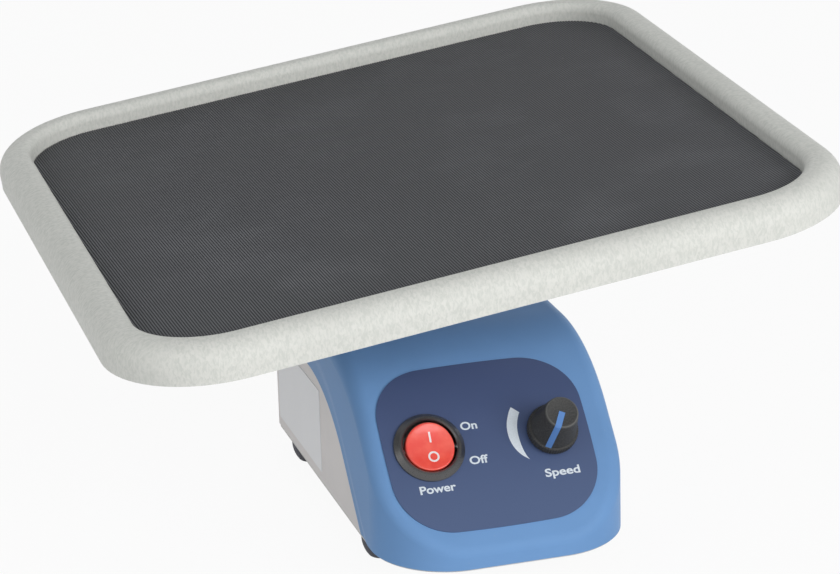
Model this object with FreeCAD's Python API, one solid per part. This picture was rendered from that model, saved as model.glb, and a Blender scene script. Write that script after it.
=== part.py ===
"""Three-dimensional mini shaker: a square tray that nutates on a small sloped base.

While it is modelled the drive axis is the Z axis and the floor is z = 0, with +X to the
user's right and +Y to the back. At export everything is moved so that the origin lies on the
floor below the middle of the whole shaker. Lengths are in millimetres, angles in degrees.
"""
import FreeCAD
import Part
import math
import os

V = FreeCAD.Vector

# Base: overall form
BASE_WIDTH = 80.0
BASE_DEPTH = 142.5
AXIS_TO_REAR = BASE_DEPTH * 13 / 57
BASE_TOP = 62.0
FOOT_HEIGHT = 8.0
LIP_HEIGHT = 14.2
PANEL_ANGLE = 45.9
CROWN_RADIUS = 56.0
FRONT_CORNER_R = 25.0
REAR_CORNER_R = 7.0
EDGE_R = 5.0
WALL = 2.5

# Base: where the front cover meets the rear body, seen from the side
SPLIT_HEIGHT = 44.5
SPLIT_SETBACK = 29.4
SPLIT_RADIUS = 55.0

# Soft fold on both flanks: how far the strip behind it lies back, how far before the joint it runs,
# and how much faster it parts from the joint upwards than forwards
FOLD_DEPTH = 0.5
FOLD_AHEAD = 2.5
FOLD_WIDTH = 4.5
FOLD_RISE = 1.5
FOLD_STEPS = 6

# Base plate, bosses, feet
RIM_THICKNESS = 0.5
RIM_INSET = 0.5
PLATE_STEP = 2.5
FIT = 0.3
BOSS_R = 4.0
FRONT_BOSS = (BASE_WIDTH / 2 - 9.8, 12.9)
COVER_SCREW_BITE = 8.0
FOOT_R = 6.5
FOOT_TREAD_R = 4.3
FOOT_BAND = 1.8
FOOT_X = BASE_WIDTH / 2 - 8.0
FOOT_FROM_FRONT = 40.0
FOOT_FROM_REAR = 18.0
FOOT_RECESS_R = 3.2
FOOT_RECESS = 3.5
FOOT_PAD = 4.0

# Control panel
OVERLAY_WIDTH = 63.4
OVERLAY_HEIGHT = 53.8
OVERLAY_X = -2.1
OVERLAY_S = 34.7
OVERLAY_CORNER_R = 18.0
OVERLAY_BULGE = 1.2
OVERLAY_T = 0.4
CONTROL_S = 35.0
SWITCH_X = -20.7
KNOB_X = 18.7

# Rocker switch
BEZEL_R = 11.1
BEZEL_HEIGHT = 2.2
BARREL_R = 9.9
SWITCH_DEPTH = (BASE_DEPTH - AXIS_TO_REAR) * 0.155
OPENING_R = 8.5
CAVITY_R = 9.0
CAVITY_DEPTH = 8.0
ROCKER_R = 7.7
ROCKER_PROUD = 2.6
ROCKER_SKIRT = 5.0
ROCKER_FOOT_R = 5.6
ROCKER_PIVOT_DEPTH = 1.0
ROCKER_PIN_R = 1.0
ROCKER_TILT = 6.0
ROCKER_HOLLOW_R = 32.0
TERMINAL = (0.8, 4.8, 7.0)
TERMINAL_SPACING = 5.0

# Speed knob and potentiometer
KNOB_SKIRT_R = 8.0
KNOB_SKIRT_H = 3.0
KNOB_BASE_R = 7.2
KNOB_TOP_R = 5.2
KNOB_CHAMFER = 0.5
KNOB_HEIGHT = 14.2
KNOB_GAP = 0.5
KNOB_REST_ANGLE = 152.0
KNOB_FLUTES = 20
KNOB_FLUTE_R = 0.45
POINTER_WIDTH = 1.9
POINTER_T = 0.5
POT_BODY_R = 8.0
POT_BODY_H = 8.0
BUSHING_R = 3.5
BUSHING_PROUD = 4.5
POT_SHAFT_R = 3.0
POT_NUT_R = 5.0
POT_NUT_H = 2.0
RUN = 0.05

# Drive: shaft, bearings and their housing
SHAFT_R = 4.0
SHAFT_FOOT = 13.0
BEARING_R = 11.0
BEARING_WIDTH = 7.0
RACE_SHARE = 0.2
SEAL_T = 0.6
LOWER_BEARING_Z = 16.0
UPPER_BEARING_Z = 37.0
COLUMN_R = 15.0
COLUMN_TOP = 45.0
COLUMN_BORE_R = 9.0
FLANGE_R = 24.0
FLANGE_T = 4.0
FLANGE_SCREW_PCR = 19.5
M4_R = 2.0
M4_HEAD_R = 3.5
M4_HEAD_H = 2.4
M3_R = 1.5
M3_HEAD_R = 2.75
M3_HEAD_H = 2.0
SOCKET_SHARE = 0.55
GUSSET_T = 2.5
GUSSET_H = 9.0

# Belt drive
MOTOR_OFFSET = (BASE_DEPTH - AXIS_TO_REAR) * 0.4
BELT_PLANE = 51.0
BELT_R = 1.5
BELT_CLEARANCE = 0.3
DRIVE_PULLEY_R = 20.0
MOTOR_PULLEY_R = 10.0
PULLEY_FLANGE = 1.6
PULLEY_T = 7.0
GROOVE_ANGLE = 60.0
DRIVE_HUB = (7.5, 4.0)
MOTOR_HUB = (6.0, 2.5)

# Gear motor and its bracket
MOTOR_R = 15.5
MOTOR_BOTTOM = 15.0
MOTOR_TAIL_R = 4.0
GEARBOX_R = 16.0
GEARBOX_H = 12.0
BRACKET_TOP = 46.0
SHEET = 2.0
BRACKET_SIDE_ROOM = 1.0
BRACKET_LENGTH = 2 * (GEARBOX_R + BRACKET_SIDE_ROOM)
BRACKET_FOOT = 9.0
MOTOR_SHAFT_R = 3.0
MOTOR_SHAFT_INSERT = 6.0
MOTOR_BOSS_R = 6.0
MOTOR_SCREW_PCR = 12.0
MOTOR_SCREW_BITE = 5.0

# Crank and tilted bearing; heights along the tilted axis are counted from the pivot
TILT = 8.0
TILT_AZIMUTH = 15.3
PIVOT_HEIGHT = 77.1
CRANK_R = 17.0
CRANK_BOTTOM = 64.5
CRANK_FACE = -5.0
STUB_R = 5.0
SHOULDER_R = 6.5
PLATFORM_BEARING_R = 13.0
PLATFORM_BEARING_WIDTH = 8.0
PLATFORM_BEARING_BOTTOM = -3.0
RETAINER_R = 2.5
WASHER_R = 7.0
WASHER_T = 1.0
COLLAR_R = 11.0
COLLAR_H = 1.5
SEAL_R = 7.0

# Platform: hub, support plate, tray and mat, stacked down from the rim's top plane
PIVOT_TO_RIM = 32.0
TRAY_SIDE = 235.0
TRAY_CORNER_R = 37.0
TRAY_DEPTH = 11.4
TRAY_WALL = 2.5
TRAY_FLOOR = 2.0
RIM_WIDTH = 11.5
RIM_OUTER_R = 7.0
RIM_INNER_R = 3.0
RIM_ABOVE_MAT = 6.0
MAT_T = 2.0
SUPPORT_SIDE = 130.0
SUPPORT_CORNER_R = 18.0
SUPPORT_T = 3.0
HUB_R = 17.0
HUB_FLANGE_R = 30.0
HUB_FLANGE_T = 4.0
HUB_BOTTOM = -3.8
HUB_SCREW_PCR = 24.0
TRAY_SCREW_OFFSET = 52.0

# Guide pin and fork, which keep the platform from spinning
GUIDE_PIN_R = 2.0
FORK_FRONT = AXIS_TO_REAR - 10.5
FORK_DEPTH = 6.5
GUIDE_PIN_TIP = FORK_FRONT + 7.0
FORK_SLOT_CLEARANCE = 0.5
FORK_PRONG = 3.0
FORK_TOP = 85.0
FORK_SLOT_BOTTOM = 69.5
FORK_FOOT_WIDTH = 30.0
FORK_FOOT_T = 2.5
FORK_SCREW_X = 11.0

# Power inlet
INLET_X = -15.0
INLET_Z = 28.0
INLET_R = 5.5
INLET_FLANGE_R = 7.0
INLET_FLANGE_T = 1.5
INLET_LENGTH = 15.0
INLET_BORE_R = 3.1
INLET_BORE_DEPTH = 9.5
INLET_PIN_R = 1.0
INLET_NUT_T = 2.0

# Circuit board
BOARD_FOOT_ROOM = 4.0
BOARD_WIDTH = 2 * (FOOT_X - BOARD_FOOT_ROOM)
BOARD_T = 1.6
BOARD_FRONT = 19.5
BOARD_ROOM = 4.5
BOARD_LENGTH = BASE_DEPTH - AXIS_TO_REAR - MOTOR_OFFSET - BRACKET_LENGTH / 2 - BOARD_FRONT - BOARD_ROOM
BOARD_LIFT = 3.0
BOARD_HOLE_INSET = 3.0
STANDOFF_R = 2.5
CAPACITOR_R = 3.5
CAPACITOR_H = 7.0
DRIVER_SIDE = 7.0
DRIVER_H = 1.8
CONTROLLER_SIDE = 9.0
CONTROLLER_H = 1.2
CONNECTOR_LENGTH = 10.0
CONNECTOR_WIDTH = 5.0
CONNECTOR_H = 5.0

# Blank rating label on the left side
LABEL_LENGTH = 53.0
LABEL_HEIGHT = 28.0
LABEL_REAR = 7.0
LABEL_BOTTOM = 12.0
LABEL_T = 0.2

# Worked out from the sizes above
HALF = BASE_WIDTH / 2
REAR = AXIS_TO_REAR
FRONT = AXIS_TO_REAR - BASE_DEPTH
COVER_BOTTOM = FOOT_HEIGHT + RIM_THICKNESS
PLATE_TOP = COVER_BOTTOM + PLATE_STEP
MAT_TOP_S = PIVOT_TO_RIM - RIM_ABOVE_MAT
FLOOR_TOP_S = MAT_TOP_S - MAT_T
FLOOR_BOTTOM_S = FLOOR_TOP_S - TRAY_FLOOR
SUPPORT_BOTTOM_S = FLOOR_BOTTOM_S - SUPPORT_T
FLANGE_BOTTOM_S = SUPPORT_BOTTOM_S - HUB_FLANGE_T
PLATFORM_BEARING_TOP = PLATFORM_BEARING_BOTTOM + PLATFORM_BEARING_WIDTH
GEARBOX_TOP = BRACKET_TOP - SHEET
SHAFT_HEAD = PIVOT_HEIGHT + CRANK_FACE - 2.5
BOARD_BOTTOM = PLATE_TOP + BOARD_LIFT

PANEL = FreeCAD.Placement(V(0, FRONT, LIP_HEIGHT), FreeCAD.Rotation(V(1, 0, 0), PANEL_ANGLE))
azimuth = math.radians(TILT_AZIMUTH)
PLATFORM = FreeCAD.Placement(
    V(0, 0, PIVOT_HEIGHT),
    FreeCAD.Rotation(V(math.sin(azimuth), -math.cos(azimuth), 0), TILT))


def placed(shape, placement):
    """Return a copy of a shape moved from a local frame into the shaker's frame."""
    copy = shape.copy()
    copy.Placement = placement.multiply(copy.Placement)
    return copy


def cylinder(r, z0, z1, x=0.0, y=0.0):
    """Upright cylinder between two heights."""
    return Part.makeCylinder(r, z1 - z0, V(x, y, z0))


def ring(r_in, r_out, z0, z1, x=0.0, y=0.0):
    """Upright tube between two heights."""
    return cylinder(r_out, z0, z1, x, y).cut(cylinder(r_in, z0 - 1, z1 + 1, x, y))


def block(x0, x1, y0, y1, z0, z1):
    """Box between two corners."""
    return Part.makeBox(x1 - x0, y1 - y0, z1 - z0, V(x0, y0, z0))


def bar(r, start, end):
    """Round bar from one point to another."""
    return Part.makeCylinder(r, (end - start).Length, start, end - start)


def revolved(points, x=0.0, y=0.0):
    """Solid turned about an upright axis from (radius, height) points."""
    loop = [V(r, 0, z) for r, z in points]
    face = Part.Face(Part.makePolygon(loop + [loop[0]]))
    solid = face.revolve(V(0, 0, 0), V(0, 0, 1), 360)
    solid.translate(V(x, y, 0))
    return solid


def fuse_all(shapes):
    """Fuse a list of shapes into one and clean the seams."""
    return shapes[0].multiFuse(shapes[1:]).removeSplitter()


def upright_edges(shape):
    """Edges of a prism that run along Z."""
    found = []
    for edge in shape.Edges:
        box = edge.BoundBox
        if box.ZLength > 0.1 and box.XLength < 0.01 and box.YLength < 0.01:
            found.append(edge)
    return found


def edges_at(shape, z, tolerance=0.01):
    """Edges that lie in the level plane at one height."""
    return [e for e in shape.Edges
            if abs(e.BoundBox.ZMin - z) < tolerance and abs(e.BoundBox.ZMax - z) < tolerance]


def rounded_square(side, r, z0, z1):
    """Square plate with rounded corners, centred on the Z axis."""
    half = side / 2
    plate = block(-half, half, -half, half, z0, z1)
    return plate.makeFillet(r, upright_edges(plate))


def hexagon(width_r, z0, z1):
    """Hexagonal prism with the given corner radius."""
    corners = [V(width_r * math.cos(math.radians(a)), width_r * math.sin(math.radians(a)), z0)
               for a in range(0, 420, 60)]
    return Part.Face(Part.makePolygon(corners[:7])).extrude(V(0, 0, z1 - z0))


def circle_points(r, count, start=0.0):
    """Points evenly round a circle."""
    return [(r * math.cos(math.radians(start + 360 * i / count)),
             r * math.sin(math.radians(start + 360 * i / count))) for i in range(count)]


def plan_prism(inset, z0, z1):
    """The base's plan outline, moved inwards and extruded."""
    prism = block(-HALF + inset, HALF - inset, FRONT + inset, REAR - inset, z0, z1)
    edges = upright_edges(prism)
    front = [e for e in edges if e.BoundBox.YMax < 0]
    prism = prism.makeFillet(FRONT_CORNER_R - inset, front)
    rear = [e for e in upright_edges(prism)
            if e.BoundBox.YMin > REAR - inset - 0.01 and abs(e.BoundBox.XMin) > HALF - inset - 0.01]
    return prism.makeFillet(REAR_CORNER_R - inset, rear)


def side_profile(inset, z0):
    """Side view of the base: front wall, sloping panel, crown arc, top and rear."""
    slope = math.radians(PANEL_ANGLE)
    along = V(0, math.cos(slope), math.sin(slope))
    outward = V(0, -math.sin(slope), math.cos(slope))
    on_panel = V(0, FRONT, LIP_HEIGHT) - outward * inset
    lip = on_panel + along * ((FRONT + inset - on_panel.y) / along.y)
    top = BASE_TOP - inset
    peak = on_panel + along * ((top - on_panel.z) / along.z)
    radius = CROWN_RADIUS - inset
    tangent = radius * math.tan(slope / 2)
    arc_start = peak - along * tangent
    arc_end = peak + V(0, tangent, 0)
    centre = arc_end - V(0, 0, radius)
    arc_mid = centre + V(0, -math.sin(slope / 2), math.cos(slope / 2)) * radius
    rear = REAR - inset
    edges = [
        Part.makeLine(V(0, FRONT + inset, z0), lip),
        Part.makeLine(lip, arc_start),
        Part.Arc(arc_start, arc_mid, arc_end).toShape(),
        Part.makeLine(arc_end, V(0, rear, top)),
        Part.makeLine(V(0, rear, top), V(0, rear, z0)),
        Part.makeLine(V(0, rear, z0), V(0, FRONT + inset, z0)),
    ]
    return Part.Face(Part.Wire(edges))


def base_form(inset, z0):
    """Outer or inner form of the base, with the edge round its top surface rounded."""
    profile = side_profile(inset, z0)
    profile.translate(V(-BASE_WIDTH, 0, 0))
    form = profile.extrude(V(2 * BASE_WIDTH, 0, 0)).common(plan_prism(inset, z0, BASE_TOP + 5))
    form = form.removeSplitter()
    upper = [f for f in form.Faces if f.normalAt(*middle_of(f)).z > 0.3]
    lower = [f for f in form.Faces if abs(f.normalAt(*middle_of(f)).z) < 0.3]
    edges = []
    for top_face in upper:
        for edge in top_face.Edges:
            if any(edge.isSame(other) for side in lower for other in side.Edges):
                edges.append(edge)
    return form.makeFillet(EDGE_R - inset, edges)


def middle_of(face):
    """Parameters at the middle of a face."""
    u0, u1, v0, v1 = face.ParameterRange
    return (u0 + u1) / 2, (v0 + v1) / 2


def split_outline(x, ahead=0.0):
    """Outline at one x of everything below and behind the joint, grown forwards and upwards."""
    slope = math.radians(PANEL_ANGLE)
    foot = V(x, FRONT + SPLIT_SETBACK - ahead / math.sin(slope), 0)
    height, radius = SPLIT_HEIGHT + FOLD_RISE * ahead, SPLIT_RADIUS + ahead
    peak = foot + V(0, height / math.tan(slope), height)
    tangent = radius * math.tan(slope / 2)
    arc_start = peak - V(0, math.cos(slope), math.sin(slope)) * tangent
    arc_end = peak + V(0, tangent, 0)
    centre = arc_end - V(0, 0, radius)
    arc_mid = centre + V(0, -math.sin(slope / 2), math.cos(slope / 2)) * radius
    far = REAR + BASE_WIDTH
    return Part.Wire([
        Part.makeLine(foot, arc_start),
        Part.Arc(arc_start, arc_mid, arc_end).toShape(),
        Part.makeLine(arc_end, V(x, far, height)),
        Part.makeLine(V(x, far, height), V(x, far, 0)),
        Part.makeLine(V(x, far, 0), foot),
    ])


def rear_region():
    """Everything below and behind the joint between front cover and rear body."""
    return Part.Face(split_outline(-BASE_WIDTH)).extrude(V(2 * BASE_WIDTH, 0, 0))


def flank_recess():
    """What the soft fold takes off both flanks: its front edge rises in an S from the strip to the flank."""
    outlines = []
    for i in range(FOLD_STEPS + 1):
        t = i / FOLD_STEPS
        rise = FOLD_DEPTH * t * t * (3 - 2 * t)
        outlines.append(split_outline(-HALF + FOLD_DEPTH - rise, FOLD_AHEAD + FOLD_WIDTH * t))
    outlines.append(split_outline(-HALF - FOLD_DEPTH, FOLD_AHEAD + FOLD_WIDTH))
    left = Part.makeLoft(outlines, True, True)
    return [left, left.mirror(V(0, 0, 0), V(1, 0, 0))]


def casing_bosses():
    """Plan positions of the front pair and the rear pair of screw bosses."""
    x_front, y_front = FRONT_BOSS
    x_rear = HALF - WALL - BOSS_R - FIT
    y_rear = REAR - WALL - BOSS_R - FIT
    front = [(-x_front, FRONT + y_front), (x_front, FRONT + y_front)]
    return front, [(-x_rear, y_rear), (x_rear, y_rear)]


def foot_places():
    """Plan positions of the four feet."""
    return [(sx * FOOT_X, y) for sx in (-1, 1)
            for y in (FRONT + FOOT_FROM_FRONT, REAR - FOOT_FROM_REAR)]


def panel_hole(r, x):
    """Hole through the control panel."""
    return placed(cylinder(r, -3 * WALL, 3 * WALL, x, CONTROL_S), PANEL)


def facing_up(shape, x, y, z):
    """Turn a screw upside down, so that its shank points up from (x, y, z)."""
    return placed(shape, FreeCAD.Placement(V(x, y, z), FreeCAD.Rotation(V(1, 0, 0), 180)))


def facing_down(shape, x, y, z):
    """Place a screw with its head's seat at (x, y, z) and its shank down."""
    return placed(shape, FreeCAD.Placement(V(x, y, z), FreeCAD.Rotation()))


def cap_screw(r, head_r, head_h, length):
    """Socket screw with its head above z = 0 and its shank below."""
    head = cylinder(head_r, 0, head_h)
    head = head.makeChamfer(head_h * 0.15, edges_at(head, head_h))
    screw = head.fuse(cylinder(r, -length, 0))
    return screw.cut(hexagon(head_r * SOCKET_SHARE, head_h * 0.45, head_h + 1)).removeSplitter()


def flat_screw(r, head_r, length):
    """Countersunk screw with its top at z = 0 and its shank below."""
    return revolved([(0, 0), (head_r, 0), (r, r - head_r), (r, -length), (0, -length)])


def compound(shapes):
    """Group separate solids in one node."""
    return Part.makeCompound(shapes)


def cover_screws():
    """Screws that go up through the base plate into the bosses of both casings."""
    front, rear = casing_bosses()
    screw = cap_screw(M3_R, M3_HEAD_R, M3_HEAD_H, PLATE_TOP - FOOT_HEIGHT - M3_HEAD_H + COVER_SCREW_BITE)
    return [facing_up(screw, x, y, FOOT_HEIGHT + M3_HEAD_H) for x, y in front + rear]


def foot_screws():
    """Screws that hold the feet to the base plate."""
    seat = FOOT_RECESS - 0.5
    screw = cap_screw(M3_R, M3_HEAD_R, M3_HEAD_H, PLATE_TOP - seat + FOOT_PAD / 2)
    return [facing_up(screw, x, y, seat) for x, y in foot_places()]


def dome(x, y):
    """Foot turned from an arc that bulges from its flat tread to its band."""
    shoulder = FOOT_HEIGHT - FOOT_BAND
    wide = FOOT_R - FOOT_TREAD_R
    radius = (wide ** 2 + shoulder ** 2) / (2 * wide)
    turn = math.asin(shoulder / radius) / 2
    middle = V(FOOT_R - radius + radius * math.cos(turn), 0, shoulder - radius * math.sin(turn))
    tread, band, top = V(FOOT_TREAD_R, 0, 0), V(FOOT_R, 0, shoulder), V(FOOT_R, 0, FOOT_HEIGHT)
    outline = Part.Wire([
        Part.makeLine(V(0, 0, 0), tread), Part.Arc(tread, middle, band).toShape(), Part.makeLine(band, top),
        Part.makeLine(top, V(0, 0, FOOT_HEIGHT)), Part.makeLine(V(0, 0, FOOT_HEIGHT), V(0, 0, 0))])
    foot = Part.Face(outline).revolve(V(0, 0, 0), V(0, 0, 1), 360)
    foot.translate(V(x, y, 0))
    return foot


def rubber_feet():
    """Four domed feet with a recess for the screw's head."""
    feet = []
    for (x, y), screw in zip(foot_places(), foot_screws()):
        foot = dome(x, y).cut(cylinder(FOOT_RECESS_R, -1, FOOT_RECESS - 0.5, x, y))
        feet.append(foot.cut(screw))
    return feet


def base_plate():
    """Bottom plate: its edge shows, and a step on it locates both casings."""
    plate = plan_prism(RIM_INSET, FOOT_HEIGHT, COVER_BOTTOM)
    step = plan_prism(WALL + FIT, COVER_BOTTOM, PLATE_TOP)
    pads = [cylinder(BOSS_R, PLATE_TOP - 0.5, PLATE_TOP + FOOT_PAD, x, y) for x, y in foot_places()]
    plate = fuse_all([plate, step] + pads)
    front, rear = casing_bosses()
    for x, y in front + rear:
        plate = plate.cut(cylinder(M3_HEAD_R + 0.2, FOOT_HEIGHT - 1, FOOT_HEIGHT + M3_HEAD_H, x, y))
    for tool in flank_recess() + cover_screws() + foot_screws() + housing_screws() + bracket_screws():
        plate = plate.cut(tool)
    return plate


def casing():
    """Front cover and rear body: two shells that meet along the split line."""
    shell = base_form(0.0, COVER_BOTTOM)
    for fold in flank_recess():
        shell = shell.cut(fold)
    shell = shell.cut(base_form(WALL, COVER_BOTTOM - WALL))
    room = base_form(WALL / 2, COVER_BOTTOM - WALL)
    region = rear_region()
    front, rear = casing_bosses()
    front_posts = [cylinder(BOSS_R, PLATE_TOP, BASE_TOP, x, y).common(room) for x, y in front]
    rear_posts = [cylinder(BOSS_R, PLATE_TOP, SPLIT_HEIGHT, x, y) for x, y in rear]
    webs = [block(min(x, sx * HALF), max(x, sx * HALF), y - 1, y + 1, PLATE_TOP, SPLIT_HEIGHT).common(room)
            for (x, y), sx in zip(rear, (-1, 1))]
    collar = ring(SEAL_R, COLLAR_R, BASE_TOP - WALL, BASE_TOP + COLLAR_H)
    cover = fuse_all([shell.cut(region), collar] + front_posts)
    cover = cover.cut(cylinder(SEAL_R, BASE_TOP - 2 * WALL, BASE_TOP + 2 * COLLAR_H))
    cover = cover.cut(panel_hole(BARREL_R, SWITCH_X)).cut(panel_hole(BUSHING_R, KNOB_X))
    for tool in cover_screws() + fork_screws():
        cover = cover.cut(tool)
    body = fuse_all([shell.common(region)] + rear_posts + webs)
    body = body.cut(bar(INLET_R, V(INLET_X, REAR - 3 * WALL, INLET_Z), V(INLET_X, REAR + WALL, INLET_Z)))
    for tool in cover_screws():
        body = body.cut(tool)
    return cover, body


def panel_overlay():
    """Thin printed sheet that follows the panel and the start of the crown."""
    sheet = side_profile(-OVERLAY_T, COVER_BOTTOM).cut(side_profile(0.0, COVER_BOTTOM))
    sheet.translate(V(-HALF, 0, 0))
    sheet = sheet.extrude(V(BASE_WIDTH, 0, 0))
    half_w, half_h, bulge = OVERLAY_WIDTH / 2, OVERLAY_HEIGHT / 2, OVERLAY_BULGE
    corners = [V(-half_w, -half_h, 0), V(half_w, -half_h, 0), V(half_w, half_h, 0), V(-half_w, half_h, 0)]
    middles = [V(0, -half_h - bulge, 0), V(half_w + bulge, 0, 0), V(0, half_h + bulge, 0),
               V(-half_w - bulge, 0, 0)]
    sides = [Part.Arc(corners[i], middles[i], corners[(i + 1) % 4]).toShape() for i in range(4)]
    outline = Part.Face(Part.Wire(sides)).extrude(V(0, 0, CROWN_RADIUS))
    outline = outline.makeFillet(OVERLAY_CORNER_R, upright_edges(outline))
    outline.translate(V(OVERLAY_X, OVERLAY_S, -CROWN_RADIUS / 2))
    overlay = sheet.common(placed(outline, PANEL))
    return overlay.cut(panel_hole(BARREL_R, SWITCH_X)).cut(panel_hole(BUSHING_R, KNOB_X))


def side_label():
    """Blank label on the left wall."""
    rear = REAR - LABEL_REAR
    wall = -HALF + FOLD_DEPTH
    return block(wall - LABEL_T, wall, rear - LABEL_LENGTH, rear, LABEL_BOTTOM, LABEL_BOTTOM + LABEL_HEIGHT)


def on_panel(shape, x):
    """Move a control from its own axis onto the panel."""
    moved = shape.copy()
    moved.translate(V(x, CONTROL_S, 0))
    return placed(moved, PANEL)


def rocker_pin():
    """Cross pin on which the rocker tips."""
    reach = (BARREL_R + CAVITY_R) / 2
    return bar(ROCKER_PIN_R, V(-reach, 0, -ROCKER_PIVOT_DEPTH), V(reach, 0, -ROCKER_PIVOT_DEPTH))


def switch_housing():
    """Round bezel and barrel of the switch, with the cavity that holds the rocker."""
    top = OVERLAY_T + BEZEL_HEIGHT
    housing = revolved([
        (0, -SWITCH_DEPTH), (BARREL_R, -SWITCH_DEPTH), (BARREL_R, OVERLAY_T), (BEZEL_R, OVERLAY_T),
        (BEZEL_R, OVERLAY_T + 0.7), (BEZEL_R - 1.4, top), (OPENING_R + 0.5, top), (OPENING_R, top - 0.5),
        (OPENING_R, 1.0), (CAVITY_R, 0.5), (CAVITY_R, -CAVITY_DEPTH), (0, -CAVITY_DEPTH)])
    return housing.cut(rocker_pin())


def switch_rocker():
    """Dished red button, tipped so that its upper half stands out (off)."""
    pivot = -ROCKER_PIVOT_DEPTH
    edge = OVERLAY_T + ROCKER_PROUD
    button = revolved([(0, -ROCKER_SKIRT), (ROCKER_FOOT_R, -ROCKER_SKIRT), (ROCKER_R, pivot),
                       (ROCKER_R, edge - 0.5), (ROCKER_R - 0.5, edge), (0, edge)])
    sagitta = ROCKER_HOLLOW_R - math.sqrt(ROCKER_HOLLOW_R ** 2 - ROCKER_R ** 2)
    hollow_z = edge + ROCKER_HOLLOW_R - sagitta
    button = button.cut(bar(ROCKER_HOLLOW_R, V(-2 * ROCKER_R, 0, hollow_z), V(2 * ROCKER_R, 0, hollow_z)))
    button = button.cut(bar(ROCKER_PIN_R + RUN, V(-2 * ROCKER_R, 0, pivot), V(2 * ROCKER_R, 0, pivot)))
    button.rotate(V(0, 0, pivot), V(1, 0, 0), ROCKER_TILT)
    return button


def switch_terminals():
    """Three flat contacts behind the switch."""
    thick, wide, long = TERMINAL
    return [block(x - thick / 2, x + thick / 2, -wide / 2, wide / 2, -SWITCH_DEPTH - long, -SWITCH_DEPTH)
            for x in (-TERMINAL_SPACING, 0, TERMINAL_SPACING)]


def potentiometer():
    """Body behind the panel with the bushing that passes through it."""
    body = cylinder(POT_BODY_R, -WALL - POT_BODY_H, -WALL)
    bushing = cylinder(BUSHING_R, -WALL - 1, BUSHING_PROUD)
    return body.fuse(bushing).cut(cylinder(POT_SHAFT_R + RUN, -WALL - POT_BODY_H + 1, BUSHING_PROUD + 1))


def knob_heights():
    """Heights of the knob's underside, the top of its skirt and its cap."""
    under = OVERLAY_T + KNOB_GAP
    return under, under + KNOB_SKIRT_H, under + KNOB_HEIGHT


def knob_form(offset):
    """Tapered body of the knob, grown by an offset."""
    under, skirt, top = knob_heights()
    return revolved([(0, under), (KNOB_BASE_R + offset, under), (KNOB_BASE_R + offset, skirt),
                     (KNOB_TOP_R + offset, top - KNOB_CHAMFER),
                     (KNOB_TOP_R - KNOB_CHAMFER + offset, top + offset), (0, top + offset)])


def knob_pointer():
    """Coloured strip let into the cap and the side of the knob."""
    under, skirt, top = knob_heights()
    strip = block(-POINTER_WIDTH / 2, POINTER_WIDTH / 2, 0, KNOB_SKIRT_R, skirt, top + 1)
    strip = strip.common(knob_form(POINTER_T / 3)).cut(knob_form(-POINTER_T))
    strip.rotate(V(0, 0, 0), V(0, 0, 1), KNOB_REST_ANGLE)
    return strip


def speed_knob():
    """Knob with a fluted skirt, hollow underneath to clear the nut."""
    under, skirt, top = knob_heights()
    flange = cylinder(KNOB_SKIRT_R, under, skirt)
    flange = flange.makeChamfer(0.6, edges_at(flange, skirt))
    knob = knob_form(0.0).fuse(flange).removeSplitter()
    for x, y in circle_points(KNOB_SKIRT_R + KNOB_FLUTE_R / 2, KNOB_FLUTES):
        knob = knob.cut(cylinder(KNOB_FLUTE_R, under - 1, skirt + 1, x, y))
    knob = knob.cut(cylinder(POT_NUT_R + 0.6, under - 1, OVERLAY_T + POT_NUT_H + 0.6))
    knob = knob.cut(cylinder(BUSHING_R + 0.5, under, BUSHING_PROUD + 0.6))
    knob = knob.cut(cylinder(POT_SHAFT_R, under, top - WALL))
    return knob.cut(knob_pointer())


def potentiometer_shaft():
    """Shaft that the knob turns."""
    return cylinder(POT_SHAFT_R, -WALL - POT_BODY_H + 1.5, knob_heights()[2] - WALL - 0.5)


def potentiometer_nut():
    """Nut that clamps the bushing to the panel."""
    nut = hexagon(POT_NUT_R, OVERLAY_T, OVERLAY_T + POT_NUT_H)
    return nut.cut(cylinder(BUSHING_R, OVERLAY_T - 1, OVERLAY_T + POT_NUT_H + 1))


def at_inlet(shape):
    """Turn a piece from its own axis onto the power inlet's, pointing out of the rear wall."""
    return placed(shape, FreeCAD.Placement(V(INLET_X, REAR, INLET_Z), FreeCAD.Rotation(V(1, 0, 0), -90)))


def power_inlet():
    """Round low-voltage inlet: threaded barrel with a flange outside the rear wall."""
    inlet = cylinder(INLET_R, -INLET_LENGTH, 0).fuse(cylinder(INLET_FLANGE_R, 0, INLET_FLANGE_T))
    inlet = inlet.cut(cylinder(INLET_BORE_R, INLET_FLANGE_T - INLET_BORE_DEPTH, INLET_FLANGE_T + 1))
    return at_inlet(inlet.cut(inlet_pin_form()))


def inlet_pin_form():
    """Centre contact of the inlet, on its own axis."""
    return cylinder(INLET_PIN_R, -INLET_BORE_DEPTH - 1, INLET_FLANGE_T - 1)


def inlet_nut():
    """Nut that holds the inlet from inside."""
    nut = hexagon(INLET_FLANGE_R, -WALL - INLET_NUT_T, -WALL)
    return at_inlet(nut.cut(cylinder(INLET_R, -WALL - INLET_NUT_T - 1, 0)))


def bearing(bore_r, outer_r, z0, width):
    """Sealed ball bearing as an outer ring with its seals and an inner ring."""
    race = (outer_r - bore_r) * RACE_SHARE
    lip_r = bore_r + race + FIT
    low, high = z0 + FIT, z0 + width - FIT
    inner = ring(bore_r, bore_r + race, z0, z0 + width)
    outer = revolved([
        (lip_r, low), (outer_r, low), (outer_r, high), (lip_r, high), (lip_r, high - SEAL_T),
        (outer_r - race, high - SEAL_T), (outer_r - race, low + SEAL_T), (lip_r, low + SEAL_T)])
    return outer, inner


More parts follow.
